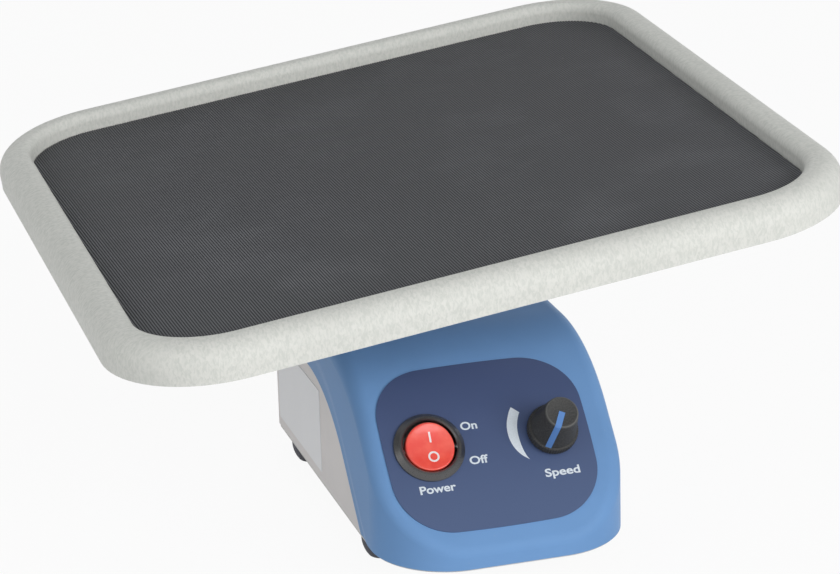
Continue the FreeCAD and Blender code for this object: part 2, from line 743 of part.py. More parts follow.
def bearing_housing():
    """Flanged column with a bearing seat at each end and gussets to its flange."""
    bottom, top = PLATE_TOP, COLUMN_TOP
    column = revolved([
        (BEARING_R, bottom), (FLANGE_R, bottom), (FLANGE_R, bottom + FLANGE_T), (COLUMN_R, bottom + FLANGE_T),
        (COLUMN_R, top), (BEARING_R, top), (BEARING_R, UPPER_BEARING_Z), (COLUMN_BORE_R, UPPER_BEARING_Z),
        (COLUMN_BORE_R, LOWER_BEARING_Z + BEARING_WIDTH), (BEARING_R, LOWER_BEARING_Z + BEARING_WIDTH)])
    foot = bottom + FLANGE_T
    inner = COLUMN_R - 1
    web = Part.Face(Part.makePolygon([
        V(inner, -GUSSET_T / 2, foot - 1), V(FLANGE_R - 1, -GUSSET_T / 2, foot - 1),
        V(FLANGE_R - 1, -GUSSET_T / 2, foot), V(COLUMN_R, -GUSSET_T / 2, foot + GUSSET_H),
        V(inner, -GUSSET_T / 2, foot + GUSSET_H), V(inner, -GUSSET_T / 2, foot - 1)]))
    web = web.extrude(V(0, GUSSET_T, 0))
    gussets = []
    for i in range(4):
        gusset = web.copy()
        gusset.rotate(V(0, 0, 0), V(0, 0, 1), 90 * i)
        gussets.append(gusset)
    housing = fuse_all([column] + gussets)
    for tool in housing_screws():
        housing = housing.cut(tool)
    return housing


def housing_screws():
    """Screws that hold the bearing housing to the base plate."""
    screw = cap_screw(M4_R, M4_HEAD_R, M4_HEAD_H, FLANGE_T + PLATE_STEP)
    return [facing_down(screw, x, y, PLATE_TOP + FLANGE_T) for x, y in circle_points(FLANGE_SCREW_PCR, 4, 45)]


def belt_pulley(r, bore_r, hub, spacer):
    """Pulley with a groove for a round belt, a hub above and a spacer below, each (radius, height)."""
    half, rim = PULLEY_T / 2, r + PULLEY_FLANGE
    root = r - BELT_R - 2 * BELT_CLEARANCE
    root_half = BELT_R / 2
    mouth_half = root_half + (rim - root) * math.tan(math.radians(GROOVE_ANGLE / 2))
    return revolved([
        (bore_r, -half - spacer[1]), (spacer[0], -half - spacer[1]), (spacer[0], -half), (rim, -half),
        (rim, -mouth_half), (root, -root_half), (root, root_half), (rim, mouth_half),
        (rim, half), (hub[0], half), (hub[0], half + hub[1]), (bore_r, half + hub[1])])


def drive_pulley():
    """Large pulley on the drive shaft, lightened by six holes."""
    spacer = (SHAFT_R + 1.5, BELT_PLANE - PULLEY_T / 2 - UPPER_BEARING_Z - BEARING_WIDTH)
    pulley = belt_pulley(DRIVE_PULLEY_R, SHAFT_R, DRIVE_HUB, spacer)
    for x, y in circle_points((DRIVE_PULLEY_R + DRIVE_HUB[0]) / 2 - 1, 6, 30):
        pulley = pulley.cut(cylinder(3.5, -PULLEY_T, PULLEY_T, x, y))
    pulley.translate(V(0, 0, BELT_PLANE))
    return pulley.cut(pulley_set_screw())


def pulley_set_screw():
    """Grub screw in the drive pulley's hub."""
    z = BELT_PLANE + PULLEY_T / 2 + DRIVE_HUB[1] / 2
    return bar(M3_R, V(0, -SHAFT_R, z), V(0, -DRIVE_HUB[0], z))


def motor_pulley():
    """Small pulley on the motor shaft."""
    pulley = belt_pulley(MOTOR_PULLEY_R, MOTOR_SHAFT_R, MOTOR_HUB, (MOTOR_SHAFT_R + 2.0, 0.5))
    pulley.translate(V(0, -MOTOR_OFFSET, BELT_PLANE))
    return pulley


def motor_shaft():
    """Output shaft of the gearbox."""
    top = BELT_PLANE + PULLEY_T / 2 + MOTOR_HUB[1] - 0.5
    return cylinder(MOTOR_SHAFT_R, GEARBOX_TOP - MOTOR_SHAFT_INSERT, top, 0, -MOTOR_OFFSET)


def drive_belt():
    """Round belt round both pulleys."""
    big, small, span = DRIVE_PULLEY_R, MOTOR_PULLEY_R, MOTOR_OFFSET
    lean = math.asin((big - small) / span)
    z = BELT_PLANE

    def on(r, y, angle):
        return V(r * math.cos(angle), y + r * math.sin(angle), z)

    right_big, left_big = on(big, 0, -lean), on(big, 0, math.pi + lean)
    right_small, left_small = on(small, -span, -lean), on(small, -span, math.pi + lean)
    path = Part.Wire([
        Part.Arc(right_big, on(big, 0, math.pi / 2), left_big).toShape(),
        Part.makeLine(left_big, left_small),
        Part.Arc(left_small, on(small, -span, -math.pi / 2), right_small).toShape(),
        Part.makeLine(right_small, right_big)])
    tangent = V(-math.sin(-lean), math.cos(-lean), 0)
    section = Part.Wire(Part.makeCircle(BELT_R, right_big, tangent))
    return path.makePipeShell([section], True, True)


def gearbox():
    """Gearbox on top of the motor, with the boss that centres it in the bracket."""
    box = cylinder(GEARBOX_R, GEARBOX_TOP - GEARBOX_H, GEARBOX_TOP, 0, -MOTOR_OFFSET)
    boss = cylinder(MOTOR_BOSS_R, GEARBOX_TOP - 1, BRACKET_TOP - 0.3, 0, -MOTOR_OFFSET)
    box = box.fuse(boss).removeSplitter()
    bore_foot = GEARBOX_TOP - 1.15 * MOTOR_SHAFT_INSERT
    box = box.cut(cylinder(MOTOR_SHAFT_R + RUN, bore_foot, BASE_TOP, 0, -MOTOR_OFFSET))
    for tool in motor_screws():
        box = box.cut(tool)
    return box


def motor():
    """Motor can below the gearbox, with its rear boss."""
    can = cylinder(MOTOR_R, MOTOR_BOTTOM, GEARBOX_TOP - GEARBOX_H, 0, -MOTOR_OFFSET)
    can = can.makeFillet(1.5, edges_at(can, MOTOR_BOTTOM))
    tail = cylinder(MOTOR_TAIL_R, PLATE_TOP + 1, MOTOR_BOTTOM + 1, 0, -MOTOR_OFFSET)
    return can.fuse(tail).removeSplitter()


def motor_screws():
    """Flush screws through the bracket into the gearbox."""
    screw = flat_screw(M3_R, M3_HEAD_R, SHEET + MOTOR_SCREW_BITE)
    return [facing_down(screw, x, y - MOTOR_OFFSET, BRACKET_TOP)
            for x, y in circle_points(MOTOR_SCREW_PCR, 4, 45)]


def bracket_screws():
    """Screws that hold the motor bracket to the base plate."""
    screw = cap_screw(M3_R, M3_HEAD_R, M3_HEAD_H, SHEET + PLATE_STEP)
    x = GEARBOX_R + 1 + SHEET + BRACKET_FOOT / 2 + 0.5
    y = BRACKET_LENGTH / 2 - 6
    return [facing_down(screw, sx * x, sy * y - MOTOR_OFFSET, PLATE_TOP + SHEET)
            for sx in (-1, 1) for sy in (-1, 1)]


def motor_bracket():
    """Folded sheet bridge that carries the gear motor."""
    inner = GEARBOX_R + 1
    outer = inner + SHEET
    tip = outer + BRACKET_FOOT
    low, top = PLATE_TOP, BRACKET_TOP
    half = [(tip, low), (tip, low + SHEET), (outer, low + SHEET), (outer, top)]
    inside = [(inner, top - SHEET), (inner, low)]
    loop = half + [(-x, z) for x, z in reversed(half)] + [(-x, z) for x, z in reversed(inside)] + inside
    y = -MOTOR_OFFSET - BRACKET_LENGTH / 2
    points = [V(x, y, z) for x, z in loop]
    bridge = Part.Face(Part.makePolygon(points + [points[0]])).extrude(V(0, BRACKET_LENGTH, 0))
    folds = [e for e in bridge.Edges
             if e.BoundBox.YLength > BRACKET_LENGTH - 1 and abs(e.BoundBox.ZMax - top) < 0.1]
    bridge = bridge.makeFillet(SHEET, folds)
    bridge = bridge.cut(cylinder(MOTOR_BOSS_R, top - 2 * SHEET, top + 1, 0, -MOTOR_OFFSET))
    for tool in motor_screws() + bracket_screws():
        bridge = bridge.cut(tool)
    return bridge


def drive_shaft():
    """Upright shaft from below the lower bearing into the crank."""
    shaft = cylinder(SHAFT_R, SHAFT_FOOT, SHAFT_HEAD)
    return shaft.cut(ring(SHAFT_R - 0.5, SHAFT_R + 1, LOWER_BEARING_Z - 1.2, LOWER_BEARING_Z - 0.2))


def shaft_circlip():
    """Open ring in the shaft's groove under the lower bearing."""
    clip = ring(SHAFT_R - 0.5, SHAFT_R + 2.2, LOWER_BEARING_Z - 1.2, LOWER_BEARING_Z - 0.2)
    return clip.cut(block(-2, 2, 0, BEARING_R, 0, LOWER_BEARING_Z))


def shaft_seal():
    """Felt ring in the cover's collar."""
    return ring(SHAFT_R + FIT, SEAL_R, BASE_TOP - WALL, BASE_TOP + COLLAR_H)


def crank():
    """Round head on the drive shaft whose top face and stub are tilted."""
    head = cylinder(CRANK_R, CRANK_BOTTOM, PIVOT_HEIGHT)
    head = head.makeChamfer(1.5, edges_at(head, CRANK_BOTTOM))
    head = head.cut(placed(cylinder(2 * CRANK_R, CRANK_FACE, CRANK_R), PLATFORM))
    shoulder = placed(cylinder(SHOULDER_R, CRANK_FACE - 1, PLATFORM_BEARING_BOTTOM), PLATFORM)
    stub = placed(cylinder(STUB_R, CRANK_FACE - 1, PLATFORM_BEARING_TOP - 0.3), PLATFORM)
    whole = fuse_all([head, shoulder, stub])
    whole = whole.cut(cylinder(SHAFT_R, CRANK_BOTTOM - 1, SHAFT_HEAD))
    return whole.cut(crank_set_screw()).cut(retaining_screw())


def crank_set_screw():
    """Grub screw that locks the crank on its shaft."""
    z = (CRANK_BOTTOM + SHAFT_HEAD) / 2
    return bar(M4_R, V(0, -SHAFT_R, z), V(0, -CRANK_R + 2, z))


def retaining_screw():
    """Screw in the end of the stub that keeps the platform's bearing on."""
    screw = cap_screw(RETAINER_R, 1.75 * RETAINER_R, 1.2 * RETAINER_R, PLATFORM_BEARING_WIDTH)
    screw.translate(V(0, 0, PLATFORM_BEARING_TOP + WASHER_T))
    return placed(screw, PLATFORM)


def retaining_washer():
    """Washer between the screw's head and the inner ring."""
    return placed(ring(RETAINER_R, WASHER_R, PLATFORM_BEARING_TOP, PLATFORM_BEARING_TOP + WASHER_T), PLATFORM)


def platform_hub():
    """Cup that holds the tilted bearing."""
    shoulder_r = PLATFORM_BEARING_R - 2.5
    access_r = 1.2 * RETAINER_R
    roof = PLATFORM_BEARING_TOP + 7
    hub = revolved([
        (PLATFORM_BEARING_R, HUB_BOTTOM), (HUB_R, HUB_BOTTOM), (HUB_R, FLANGE_BOTTOM_S),
        (access_r, FLANGE_BOTTOM_S), (access_r, roof), (shoulder_r, roof), (shoulder_r, PLATFORM_BEARING_TOP),
        (PLATFORM_BEARING_R, PLATFORM_BEARING_TOP)])
    return placed(hub, PLATFORM).cut(guide_pin())


def hub_flange():
    """Round flange on the cup that carries the support plate."""
    flange = ring(1.2 * RETAINER_R, HUB_FLANGE_R, FLANGE_BOTTOM_S, SUPPORT_BOTTOM_S)
    flange = placed(flange.makeChamfer(0.6, [e for e in edges_at(flange, FLANGE_BOTTOM_S)
                                             if e.BoundBox.XLength > HUB_FLANGE_R]), PLATFORM)
    for tool in hub_screws():
        flange = flange.cut(tool)
    return flange


def guide_pin():
    """Pin that points to the back from the hub, level with the pivot."""
    return placed(bar(GUIDE_PIN_R, V(0, PLATFORM_BEARING_R + 0.5, 0), V(0, GUIDE_PIN_TIP, 0)), PLATFORM)


def hub_screws():
    """Screws from below through the hub's flange into the support plate."""
    screw = cap_screw(M4_R, M4_HEAD_R, M4_HEAD_H, HUB_FLANGE_T + SUPPORT_T - 0.5)
    return [placed(facing_up(screw, x, y, FLANGE_BOTTOM_S), PLATFORM)
            for x, y in circle_points(HUB_SCREW_PCR, 4, 45)]


def tray_screws():
    """Flush screws under the mat that hold the tray to the support plate."""
    screw = flat_screw(M3_R, M3_HEAD_R, TRAY_FLOOR + SUPPORT_T - 0.5)
    d = TRAY_SCREW_OFFSET
    return [placed(facing_down(screw, sx * d, sy * d, FLOOR_TOP_S), PLATFORM)
            for sx in (-1, 1) for sy in (-1, 1)]


def support_plate():
    """Square metal plate under the tray."""
    plate = rounded_square(SUPPORT_SIDE, SUPPORT_CORNER_R, SUPPORT_BOTTOM_S, FLOOR_BOTTOM_S)
    plate = plate.cut(cylinder(1.2 * RETAINER_R, SUPPORT_BOTTOM_S - 1, FLOOR_BOTTOM_S + 1))
    plate = placed(plate, PLATFORM)
    for tool in hub_screws() + tray_screws():
        plate = plate.cut(tool)
    return plate


def tray():
    """Square moulded tray: a thick rounded rim, hollow from below, round a flat floor."""
    top, bottom = PIVOT_TO_RIM, PIVOT_TO_RIM - TRAY_DEPTH
    shell = rounded_square(TRAY_SIDE, TRAY_CORNER_R, bottom, top)
    shell = shell.makeFillet(RIM_OUTER_R, edges_at(shell, top))
    recess_side = TRAY_SIDE - 2 * RIM_WIDTH
    recess = rounded_square(recess_side, TRAY_CORNER_R - RIM_WIDTH, FLOOR_TOP_S, top + 5)
    shell = shell.cut(recess)
    inner_lip = [e for e in edges_at(shell, top) if abs(e.BoundBox.XMax) < recess_side / 2 + 0.1
                 and abs(e.BoundBox.XMin) < recess_side / 2 + 0.1]
    shell = shell.makeFillet(RIM_INNER_R, inner_lip)
    pocket_side = TRAY_SIDE - 2 * TRAY_WALL
    pocket = rounded_square(pocket_side, TRAY_CORNER_R - TRAY_WALL, bottom - 1, FLOOR_BOTTOM_S)
    core_side = recess_side + 2 * TRAY_WALL
    channel = rounded_square(pocket_side, TRAY_CORNER_R - TRAY_WALL, bottom - 1, top - TRAY_WALL)
    channel = channel.makeFillet(RIM_OUTER_R - TRAY_WALL, edges_at(channel, top - TRAY_WALL))
    core = rounded_square(core_side, TRAY_CORNER_R - RIM_WIDTH + TRAY_WALL, bottom - 2, top)
    shell = shell.cut(pocket).cut(channel.cut(core))
    shell = placed(shell, PLATFORM)
    for tool in tray_screws():
        shell = shell.cut(tool)
    return shell


def rubber_mat():
    """Mat that fills the tray's recess."""
    side = TRAY_SIDE - 2 * RIM_WIDTH - 2 * FIT
    mat = rounded_square(side, TRAY_CORNER_R - RIM_WIDTH - FIT, FLOOR_TOP_S, MAT_TOP_S)
    return placed(mat, PLATFORM)


def fork_screws():
    """Screws that hold the fork to the top of the cover."""
    screw = cap_screw(M3_R, M3_HEAD_R, M3_HEAD_H, FORK_FOOT_T + WALL + 1)
    y = FORK_FRONT + FORK_DEPTH / 2
    return [facing_down(screw, sx * FORK_SCREW_X, y, BASE_TOP + FORK_FOOT_T) for sx in (-1, 1)]


def guide_fork():
    """Upright fork: the guide pin slides up and down in its open slot."""
    back = FORK_FRONT + FORK_DEPTH
    half_slot = GUIDE_PIN_R + FORK_SLOT_CLEARANCE
    half = half_slot + FORK_PRONG
    foot_top = BASE_TOP + FORK_FOOT_T
    foot = block(-FORK_FOOT_WIDTH / 2, FORK_FOOT_WIDTH / 2, FORK_FRONT, back, BASE_TOP, foot_top)
    post = block(-half, half, FORK_FRONT, back, BASE_TOP, FORK_TOP)
    tips = [e for e in edges_at(post, FORK_TOP) if e.BoundBox.YLength > FORK_DEPTH - 0.5]
    post = post.makeFillet(FORK_PRONG / 2, tips)
    slot = block(-half_slot, half_slot, FORK_FRONT - 1, back + 1, FORK_SLOT_BOTTOM, FORK_TOP + 1)
    fork = fuse_all([foot, post.cut(slot)])
    for tool in fork_screws():
        fork = fork.cut(tool)
    return fork


def board_corners():
    """Plan positions of the circuit board's standoffs."""
    x = BOARD_WIDTH / 2 - BOARD_HOLE_INSET
    near, far = BOARD_HOLE_INSET, BOARD_LENGTH - BOARD_HOLE_INSET
    return [(sx * x, FRONT + BOARD_FRONT + y) for sx in (-1, 1) for y in (near, far)]


def circuit_board():
    """Controller board in front of the motor."""
    x, y = BOARD_WIDTH / 2, FRONT + BOARD_FRONT
    board = block(-x, x, y, y + BOARD_LENGTH, BOARD_BOTTOM, BOARD_BOTTOM + BOARD_T)
    for tool in board_screws():
        board = board.cut(tool)
    return board


def board_screws():
    """Screws that hold the board to its standoffs."""
    screw = cap_screw(M3_R, M3_HEAD_R - 0.5, M3_HEAD_H - 0.5, BOARD_T + BOARD_LIFT - 0.5)
    return [facing_down(screw, x, y, BOARD_BOTTOM + BOARD_T) for x, y in board_corners()]


def board_standoffs():
    """Spacers under the board."""
    posts = [cylinder(STANDOFF_R, PLATE_TOP, BOARD_BOTTOM, x, y) for x, y in board_corners()]
    return [post.cut(tool) for post, tool in zip(posts, board_screws())]


def board_components():
    """Capacitor, driver chip, controller chip and connector on the board."""
    top = BOARD_BOTTOM + BOARD_T
    edge = FRONT + BOARD_FRONT
    quarter = BOARD_WIDTH / 4
    middle = edge + BOARD_LENGTH / 2

    def chip(x, y, wide, deep, high):
        return block(x - wide / 2, x + wide / 2, y - deep / 2, y + deep / 2, top, top + high)

    capacitor = cylinder(CAPACITOR_R, top, top + CAPACITOR_H, 1.2 * quarter, middle + CAPACITOR_R)
    driver = chip(quarter / 2, middle + DRIVER_SIDE / 3, DRIVER_SIDE, DRIVER_SIDE, DRIVER_H)
    controller = chip(-quarter, middle, CONTROLLER_SIDE, CONTROLLER_SIDE, CONTROLLER_H)
    plug_y = edge + 0.9 * CONNECTOR_WIDTH
    connector = chip(quarter / 2, plug_y, CONNECTOR_LENGTH, CONNECTOR_WIDTH, CONNECTOR_H)
    return [capacitor, driver, controller, connector]


def build_nodes():
    """Build every sub-part, by node name."""
    cover, body = casing()
    lower_outer, lower_inner = bearing(SHAFT_R, BEARING_R, LOWER_BEARING_Z, BEARING_WIDTH)
    upper_outer, upper_inner = bearing(SHAFT_R, BEARING_R, UPPER_BEARING_Z, BEARING_WIDTH)
    tilted_outer, tilted_inner = bearing(
        STUB_R, PLATFORM_BEARING_R, PLATFORM_BEARING_BOTTOM, PLATFORM_BEARING_WIDTH)
    return {
        "base_plate": base_plate(),
        "front_cover": cover,
        "rear_body": body,
        "panel_overlay": panel_overlay(),
        "side_label": side_label(),
        "cover_screws": compound(cover_screws()),
        "rubber_feet": compound(rubber_feet()),
        "foot_screws": compound(foot_screws()),
        "switch_housing": on_panel(switch_housing(), SWITCH_X),
        "switch_terminals": on_panel(compound(switch_terminals()), SWITCH_X),
        "rocker_pin": on_panel(rocker_pin(), SWITCH_X),
        "switch_rocker": on_panel(switch_rocker(), SWITCH_X),
        "speed_knob": on_panel(speed_knob(), KNOB_X),
        "knob_pointer": on_panel(knob_pointer(), KNOB_X),
        "potentiometer_shaft": on_panel(potentiometer_shaft(), KNOB_X),
        "potentiometer": on_panel(potentiometer(), KNOB_X),
        "potentiometer_nut": on_panel(potentiometer_nut(), KNOB_X),
        "power_inlet": power_inlet(),
        "inlet_pin": at_inlet(inlet_pin_form()),
        "inlet_nut": inlet_nut(),
        "circuit_board": circuit_board(),
        "board_standoffs": compound(board_standoffs()),
        "board_screws": compound(board_screws()),
        "board_components": compound(board_components()),
        "motor": motor(),
        "gearbox": gearbox(),
        "motor_bracket": motor_bracket(),
        "motor_screws": compound(motor_screws()),
        "bracket_screws": compound(bracket_screws()),
        "motor_shaft": motor_shaft(),
        "motor_pulley": motor_pulley(),
        "drive_belt": drive_belt(),
        "bearing_housing": bearing_housing(),
        "housing_screws": compound(housing_screws()),
        "shaft_bearing_outer_rings": compound([lower_outer, upper_outer]),
        "shaft_bearing_inner_rings": compound([lower_inner, upper_inner]),
        "shaft_circlip": shaft_circlip(),
        "shaft_seal": shaft_seal(),
        "drive_shaft": drive_shaft(),
        "drive_pulley": drive_pulley(),
        "pulley_set_screw": pulley_set_screw(),
        "crank": crank(),
        "crank_set_screw": crank_set_screw(),
        "platform_bearing_inner_ring": placed(tilted_inner, PLATFORM),
        "retaining_washer": retaining_washer(),
        "retaining_screw": retaining_screw(),
        "platform_bearing_outer_ring": placed(tilted_outer, PLATFORM),
        "platform_hub": platform_hub(),
        "hub_flange": hub_flange(),
        "guide_pin": guide_pin(),
        "hub_screws": compound(hub_screws()),
        "support_plate": support_plate(),
        "tray_screws": compound(tray_screws()),
        "tray": tray(),
        "rubber_mat": rubber_mat(),
        "guide_fork": guide_fork(),
        "fork_screws": compound(fork_screws()),
    }


def origin_shift(nodes):
    """Move that puts the origin below the middle of the whole shaker's box."""
    boxes = [shape.optimalBoundingBox(False, False) for shape in nodes.values()]
    x = (min(b.XMin for b in boxes) + max(b.XMax for b in boxes)) / 2
    y = (min(b.YMin for b in boxes) + max(b.YMax for b in boxes)) / 2
    return V(-x, -y, 0)


def main():
    """Build the sub-parts, move them to the frame and write one file for each."""
    os.makedirs("parts", exist_ok=True)
    nodes = build_nodes()
    shift = origin_shift(nodes)
    print(f"drive axis at x = {shift.x:.4f}, y = {shift.y:.4f}")
    for name, shape in nodes.items():
        shape.translate(shift)
        shape.exportStep(f"parts/{name}.step")


main()
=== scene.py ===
"""Looks of the three-dimensional mini shaker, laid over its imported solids.

Each sub-assembly is a class that builds its own pieces and gives its solids a finish.
Sizes are in millimetres in a local frame and become metres when a piece is made.
"""
import logging
import math
from dataclasses import dataclass, field
from enum import Enum
from typing import Callable, Optional, Sequence, Union

import bpy
from mathutils import Matrix, Vector


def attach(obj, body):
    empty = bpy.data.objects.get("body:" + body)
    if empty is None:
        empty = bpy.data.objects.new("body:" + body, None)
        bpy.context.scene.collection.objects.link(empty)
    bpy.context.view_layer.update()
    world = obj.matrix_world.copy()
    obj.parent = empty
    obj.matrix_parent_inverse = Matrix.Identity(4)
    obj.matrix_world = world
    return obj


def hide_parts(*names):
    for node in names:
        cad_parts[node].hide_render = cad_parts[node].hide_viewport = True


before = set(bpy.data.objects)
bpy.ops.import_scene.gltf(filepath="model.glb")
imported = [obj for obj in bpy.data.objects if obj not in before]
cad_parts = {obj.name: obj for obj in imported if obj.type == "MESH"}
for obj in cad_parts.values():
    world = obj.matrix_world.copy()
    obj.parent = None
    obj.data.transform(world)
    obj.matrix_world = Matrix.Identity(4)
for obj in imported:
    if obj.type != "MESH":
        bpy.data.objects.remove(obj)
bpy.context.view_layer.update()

LOG = logging.getLogger("shaker")
MM = 0.001
# Where the drive's axis stands on the floor
DRIVE_AXIS = Vector((3.0924, 0.8397, 0.0))
# The mat's ribs: their pitch, the corners of one as shares of pitch and height, the middle of its valley
RIB_PITCH = 0.845
RIB_PROFILE = ((0.0, 0.0), (0.22, 0.0), (0.36, 1.0), (0.86, 1.0))
RIB_VALLEY = 0.11
# How deep a printed shape reaches into the surface below it
PRINT_SINK = 0.05
Colour = tuple[float, float, float]
Value = Union[float, Sequence[float], "Wire"]
Point = Sequence[float]


def paint(red: int, green: int, blue: int) -> Colour:
    """Turn a colour in screen values of 0 to 255 into linear light.

    Args:
        red: Red share.
        green: Green share.
        blue: Blue share.

    Returns:
        The three shares from 0 to 1.
    """
    def linear(share: float) -> float:
        """Undo the screen's curve for one share."""
        return share / 12.92 if share <= 0.04045 else ((share + 0.055) / 1.055) ** 2.4
    return tuple(linear(c / 255) for c in (red, green, blue))


def toned(colour: Colour, share: float) -> Colour:
    """Make a colour darker or lighter.

    Args:
        colour: The colour.
        share: How much of it is left.

    Returns:
        The new colour, at most white.
    """
    return tuple(min(1.0, c * share) for c in colour)


class Wire:
    """One value that runs through a material, with Python's operators."""

    def __init__(self, graph: "Graph", socket: Optional[bpy.types.NodeSocket]) -> None:
        """Keep the graph and the output socket that this value comes from."""
        self.graph, self.socket = graph, socket

    def math(self, operation: str, *values: Value) -> "Wire":
        """Add one Math node.

        Args:
            operation: Name of the node's operation.
            *values: Numbers or wires for its sockets, in order.

        Returns:
            The result as a new wire.
        """
        return self.graph.node("ShaderNodeMath", {"operation": operation}, dict(enumerate(values)))

    def __add__(self, other: Value) -> "Wire":
        """Sum of two values."""
        return self.math("ADD", self, other)

    def __radd__(self, other: Value) -> "Wire":
        """Sum with a number on the left."""
        return self.math("ADD", other, self)

    def __sub__(self, other: Value) -> "Wire":
        """Difference of two values."""
        return self.math("SUBTRACT", self, other)

    def __rsub__(self, other: Value) -> "Wire":
        """Difference with a number on the left."""
        return self.math("SUBTRACT", other, self)

    def __mul__(self, other: Value) -> "Wire":
        """Product of two values."""
        return self.math("MULTIPLY", self, other)

    def __truediv__(self, other: Value) -> "Wire":
        """Quotient of two values."""
        return self.math("DIVIDE", self, other)

    def __pow__(self, other: Value) -> "Wire":
        """Power of a value."""
        return self.math("POWER", self, other)

    def __abs__(self) -> "Wire":
        """Size without sign."""
        return self.math("ABSOLUTE", self)

    def fraction(self) -> "Wire":
        """Part after the decimal point."""
        return self.math("FRACT", self)

    def __gt__(self, other: Value) -> "Wire":
        """One where the value is larger, else zero."""
        return self.math("GREATER_THAN", self, other)

    def __lt__(self, other: Value) -> "Wire":
        """One where the value is smaller, else zero."""
        return self.math("LESS_THAN", self, other)

    def ramp(self, low: float, high: float) -> "Wire":
        """Rise smoothly from 0 to 1.

        Args:
            low: Value at which the result is 0.
            high: Value at which it is 1; it may be below low.

        Returns:
            The eased share.
        """
        return self.graph.node("ShaderNodeMapRange", {"interpolation_type": "SMOOTHSTEP"},
                               {"Value": self, "From Min": low, "From Max": high})

    def blend(self, first: Value, second: Value) -> "Wire":
        """Mix two colours by this value.

        Args:
            first: Colour where the value is 0.
            second: Colour where it is 1.

        Returns:
            The mixed colour.
        """
        return self.graph.node("ShaderNodeMix", {"data_type": "RGBA"},
                               {0: self, 6: first, 7: second}, output=2)


class Graph:
    """Node tree of one material, or of the surroundings."""

    def __init__(self, name: str, world: Optional[bpy.types.World] = None) -> None:
        """Start with an empty tree.

        Args:
            name: Name of the finish.
            world: The surroundings, where the tree isn't a new material's.
        """
        self.owner = world or bpy.data.materials.new("finish_" + name)
        self.owner.use_nodes = True
        self.tree = self.owner.node_tree
        self.tree.nodes.clear()

    def node(self, kind: str, settings: Optional[dict] = None, inputs: Optional[dict] = None,
             output: Union[int, str] = 0) -> Wire:
        """Add a node, set it up and join it.

        Args:
            kind: Type of the node.
            settings: Attributes to set first.
            inputs: Numbers, colours or wires by socket name or number.
            output: Which output the result stands for.

        Returns:
            That output as a wire.
        """
        made = self.tree.nodes.new(kind)
        for key, value in (settings or {}).items():
            setattr(made, key, value)
        for key, value in (inputs or {}).items():
            socket = made.inputs[key]
            if isinstance(value, Wire):
                self.tree.links.new(value.socket, socket)
            elif hasattr(value, "__len__") and len(value) == 3 and len(socket.default_value) == 4:
                socket.default_value = (*value, 1.0)
            else:
                socket.default_value = value
        return Wire(self, made.outputs[output] if made.outputs else None)

    def place(self, stretch: Point = (1, 1, 1), turn: Point = (0, 0, 0)) -> Wire:
        """Position on the piece in millimetres.

        Args:
            stretch: How much finer the pattern is along each axis.
            turn: Angles in degrees by which the pattern is turned first.

        Returns:
            The position as a wire.
        """
        spot = self.node("ShaderNodeTexCoord", output="Object")
        turned = self.node("ShaderNodeMapping", {"vector_type": "TEXTURE"},
                           {"Vector": spot, "Rotation": [math.radians(a) for a in turn]})
        return self.node("ShaderNodeVectorMath", {"operation": "MULTIPLY"},
                         {0: turned, 1: [s / MM for s in stretch]})

    def noise(self, size: float, detail: float = 3.0, spot: Optional[Wire] = None,
              rough: float = 0.55, warp: float = 0.0) -> Wire:
        """Cloudy pattern.

        Args:
            size: Width of its largest clouds in millimetres.
            detail: Number of finer layers.
            spot: Position, where it isn't the plain one.
            rough: Weight of the finer layers.
            warp: Distortion.

        Returns:
            A value about 0.5.
        """
        return self.node("ShaderNodeTexNoise", None, {
            "Vector": spot or self.place(), "Scale": 1 / size, "Detail": detail,
            "Roughness": rough, "Distortion": warp})

    def cells(self, size: float, feature: str = "F1", spot: Optional[Wire] = None) -> Wire:
        """Distance within a pattern of cells.

        Args:
            size: Width of a cell in millimetres.
            feature: Which distance is measured.
            spot: Position, where it isn't the plain one.

        Returns:
            The distance, in cells.
        """
        return self.node("ShaderNodeTexVoronoi", {"feature": feature},
                         {"Vector": spot or self.place(), "Scale": 1 / size}, output="Distance")

    def along(self, place: Matrix, axis: int) -> Wire:
        """Place along one axis of a local frame, in millimetres.

        Args:
            place: Move from the local frame to the shaker's.
            axis: Number of the axis.

        Returns:
            The coordinate.
        """
        heading = place.col[axis].to_3d()
        reach = self.node("ShaderNodeVectorMath", {"operation": "DOT_PRODUCT"},
                          {0: self.place(), 1: heading}, output="Value")
        return reach - heading.dot(place.translation)

    def bump(self, height: Wire, depth: float, onto: Optional[Wire] = None) -> Wire:
        """Raise and sink the surface in the light.

        Args:
            height: Share of the depth at each spot.
            depth: Full depth in millimetres.
            onto: Normal of an earlier bump.

        Returns:
            The new normal.
        """
        inputs = {"Height": height, "Strength": 1.0, "Distance": depth * MM}
        if onto:
            inputs["Normal"] = onto
        return self.node("ShaderNodeBump", None, inputs)

    def surface(self, **values: Value) -> bpy.types.Material:
        """Finish the material with one plain shader.

        Args:
            **values: Socket names, with _ for blanks, and their numbers, colours or wires.

        Returns:
            The material.
        """
        named = {key.replace("_", " "): value for key, value in values.items()}
        shader = self.node("ShaderNodeBsdfPrincipled", None, named)
        self.node("ShaderNodeOutputMaterial", None, {"Surface": shader})
        return self.owner

    def seen(self) -> Wire:
        """One where the eye meets this directly, in a mirror or through glass, else zero."""
        camera = self.node("ShaderNodeLightPath", output="Is Camera Ray")
        glossy, clear = (Wire(self, camera.socket.node.outputs[ray])
                         for ray in ("Is Glossy Ray", "Is Transmission Ray"))
        return camera.math("MAXIMUM", camera, glossy.math("MAXIMUM", glossy, clear))


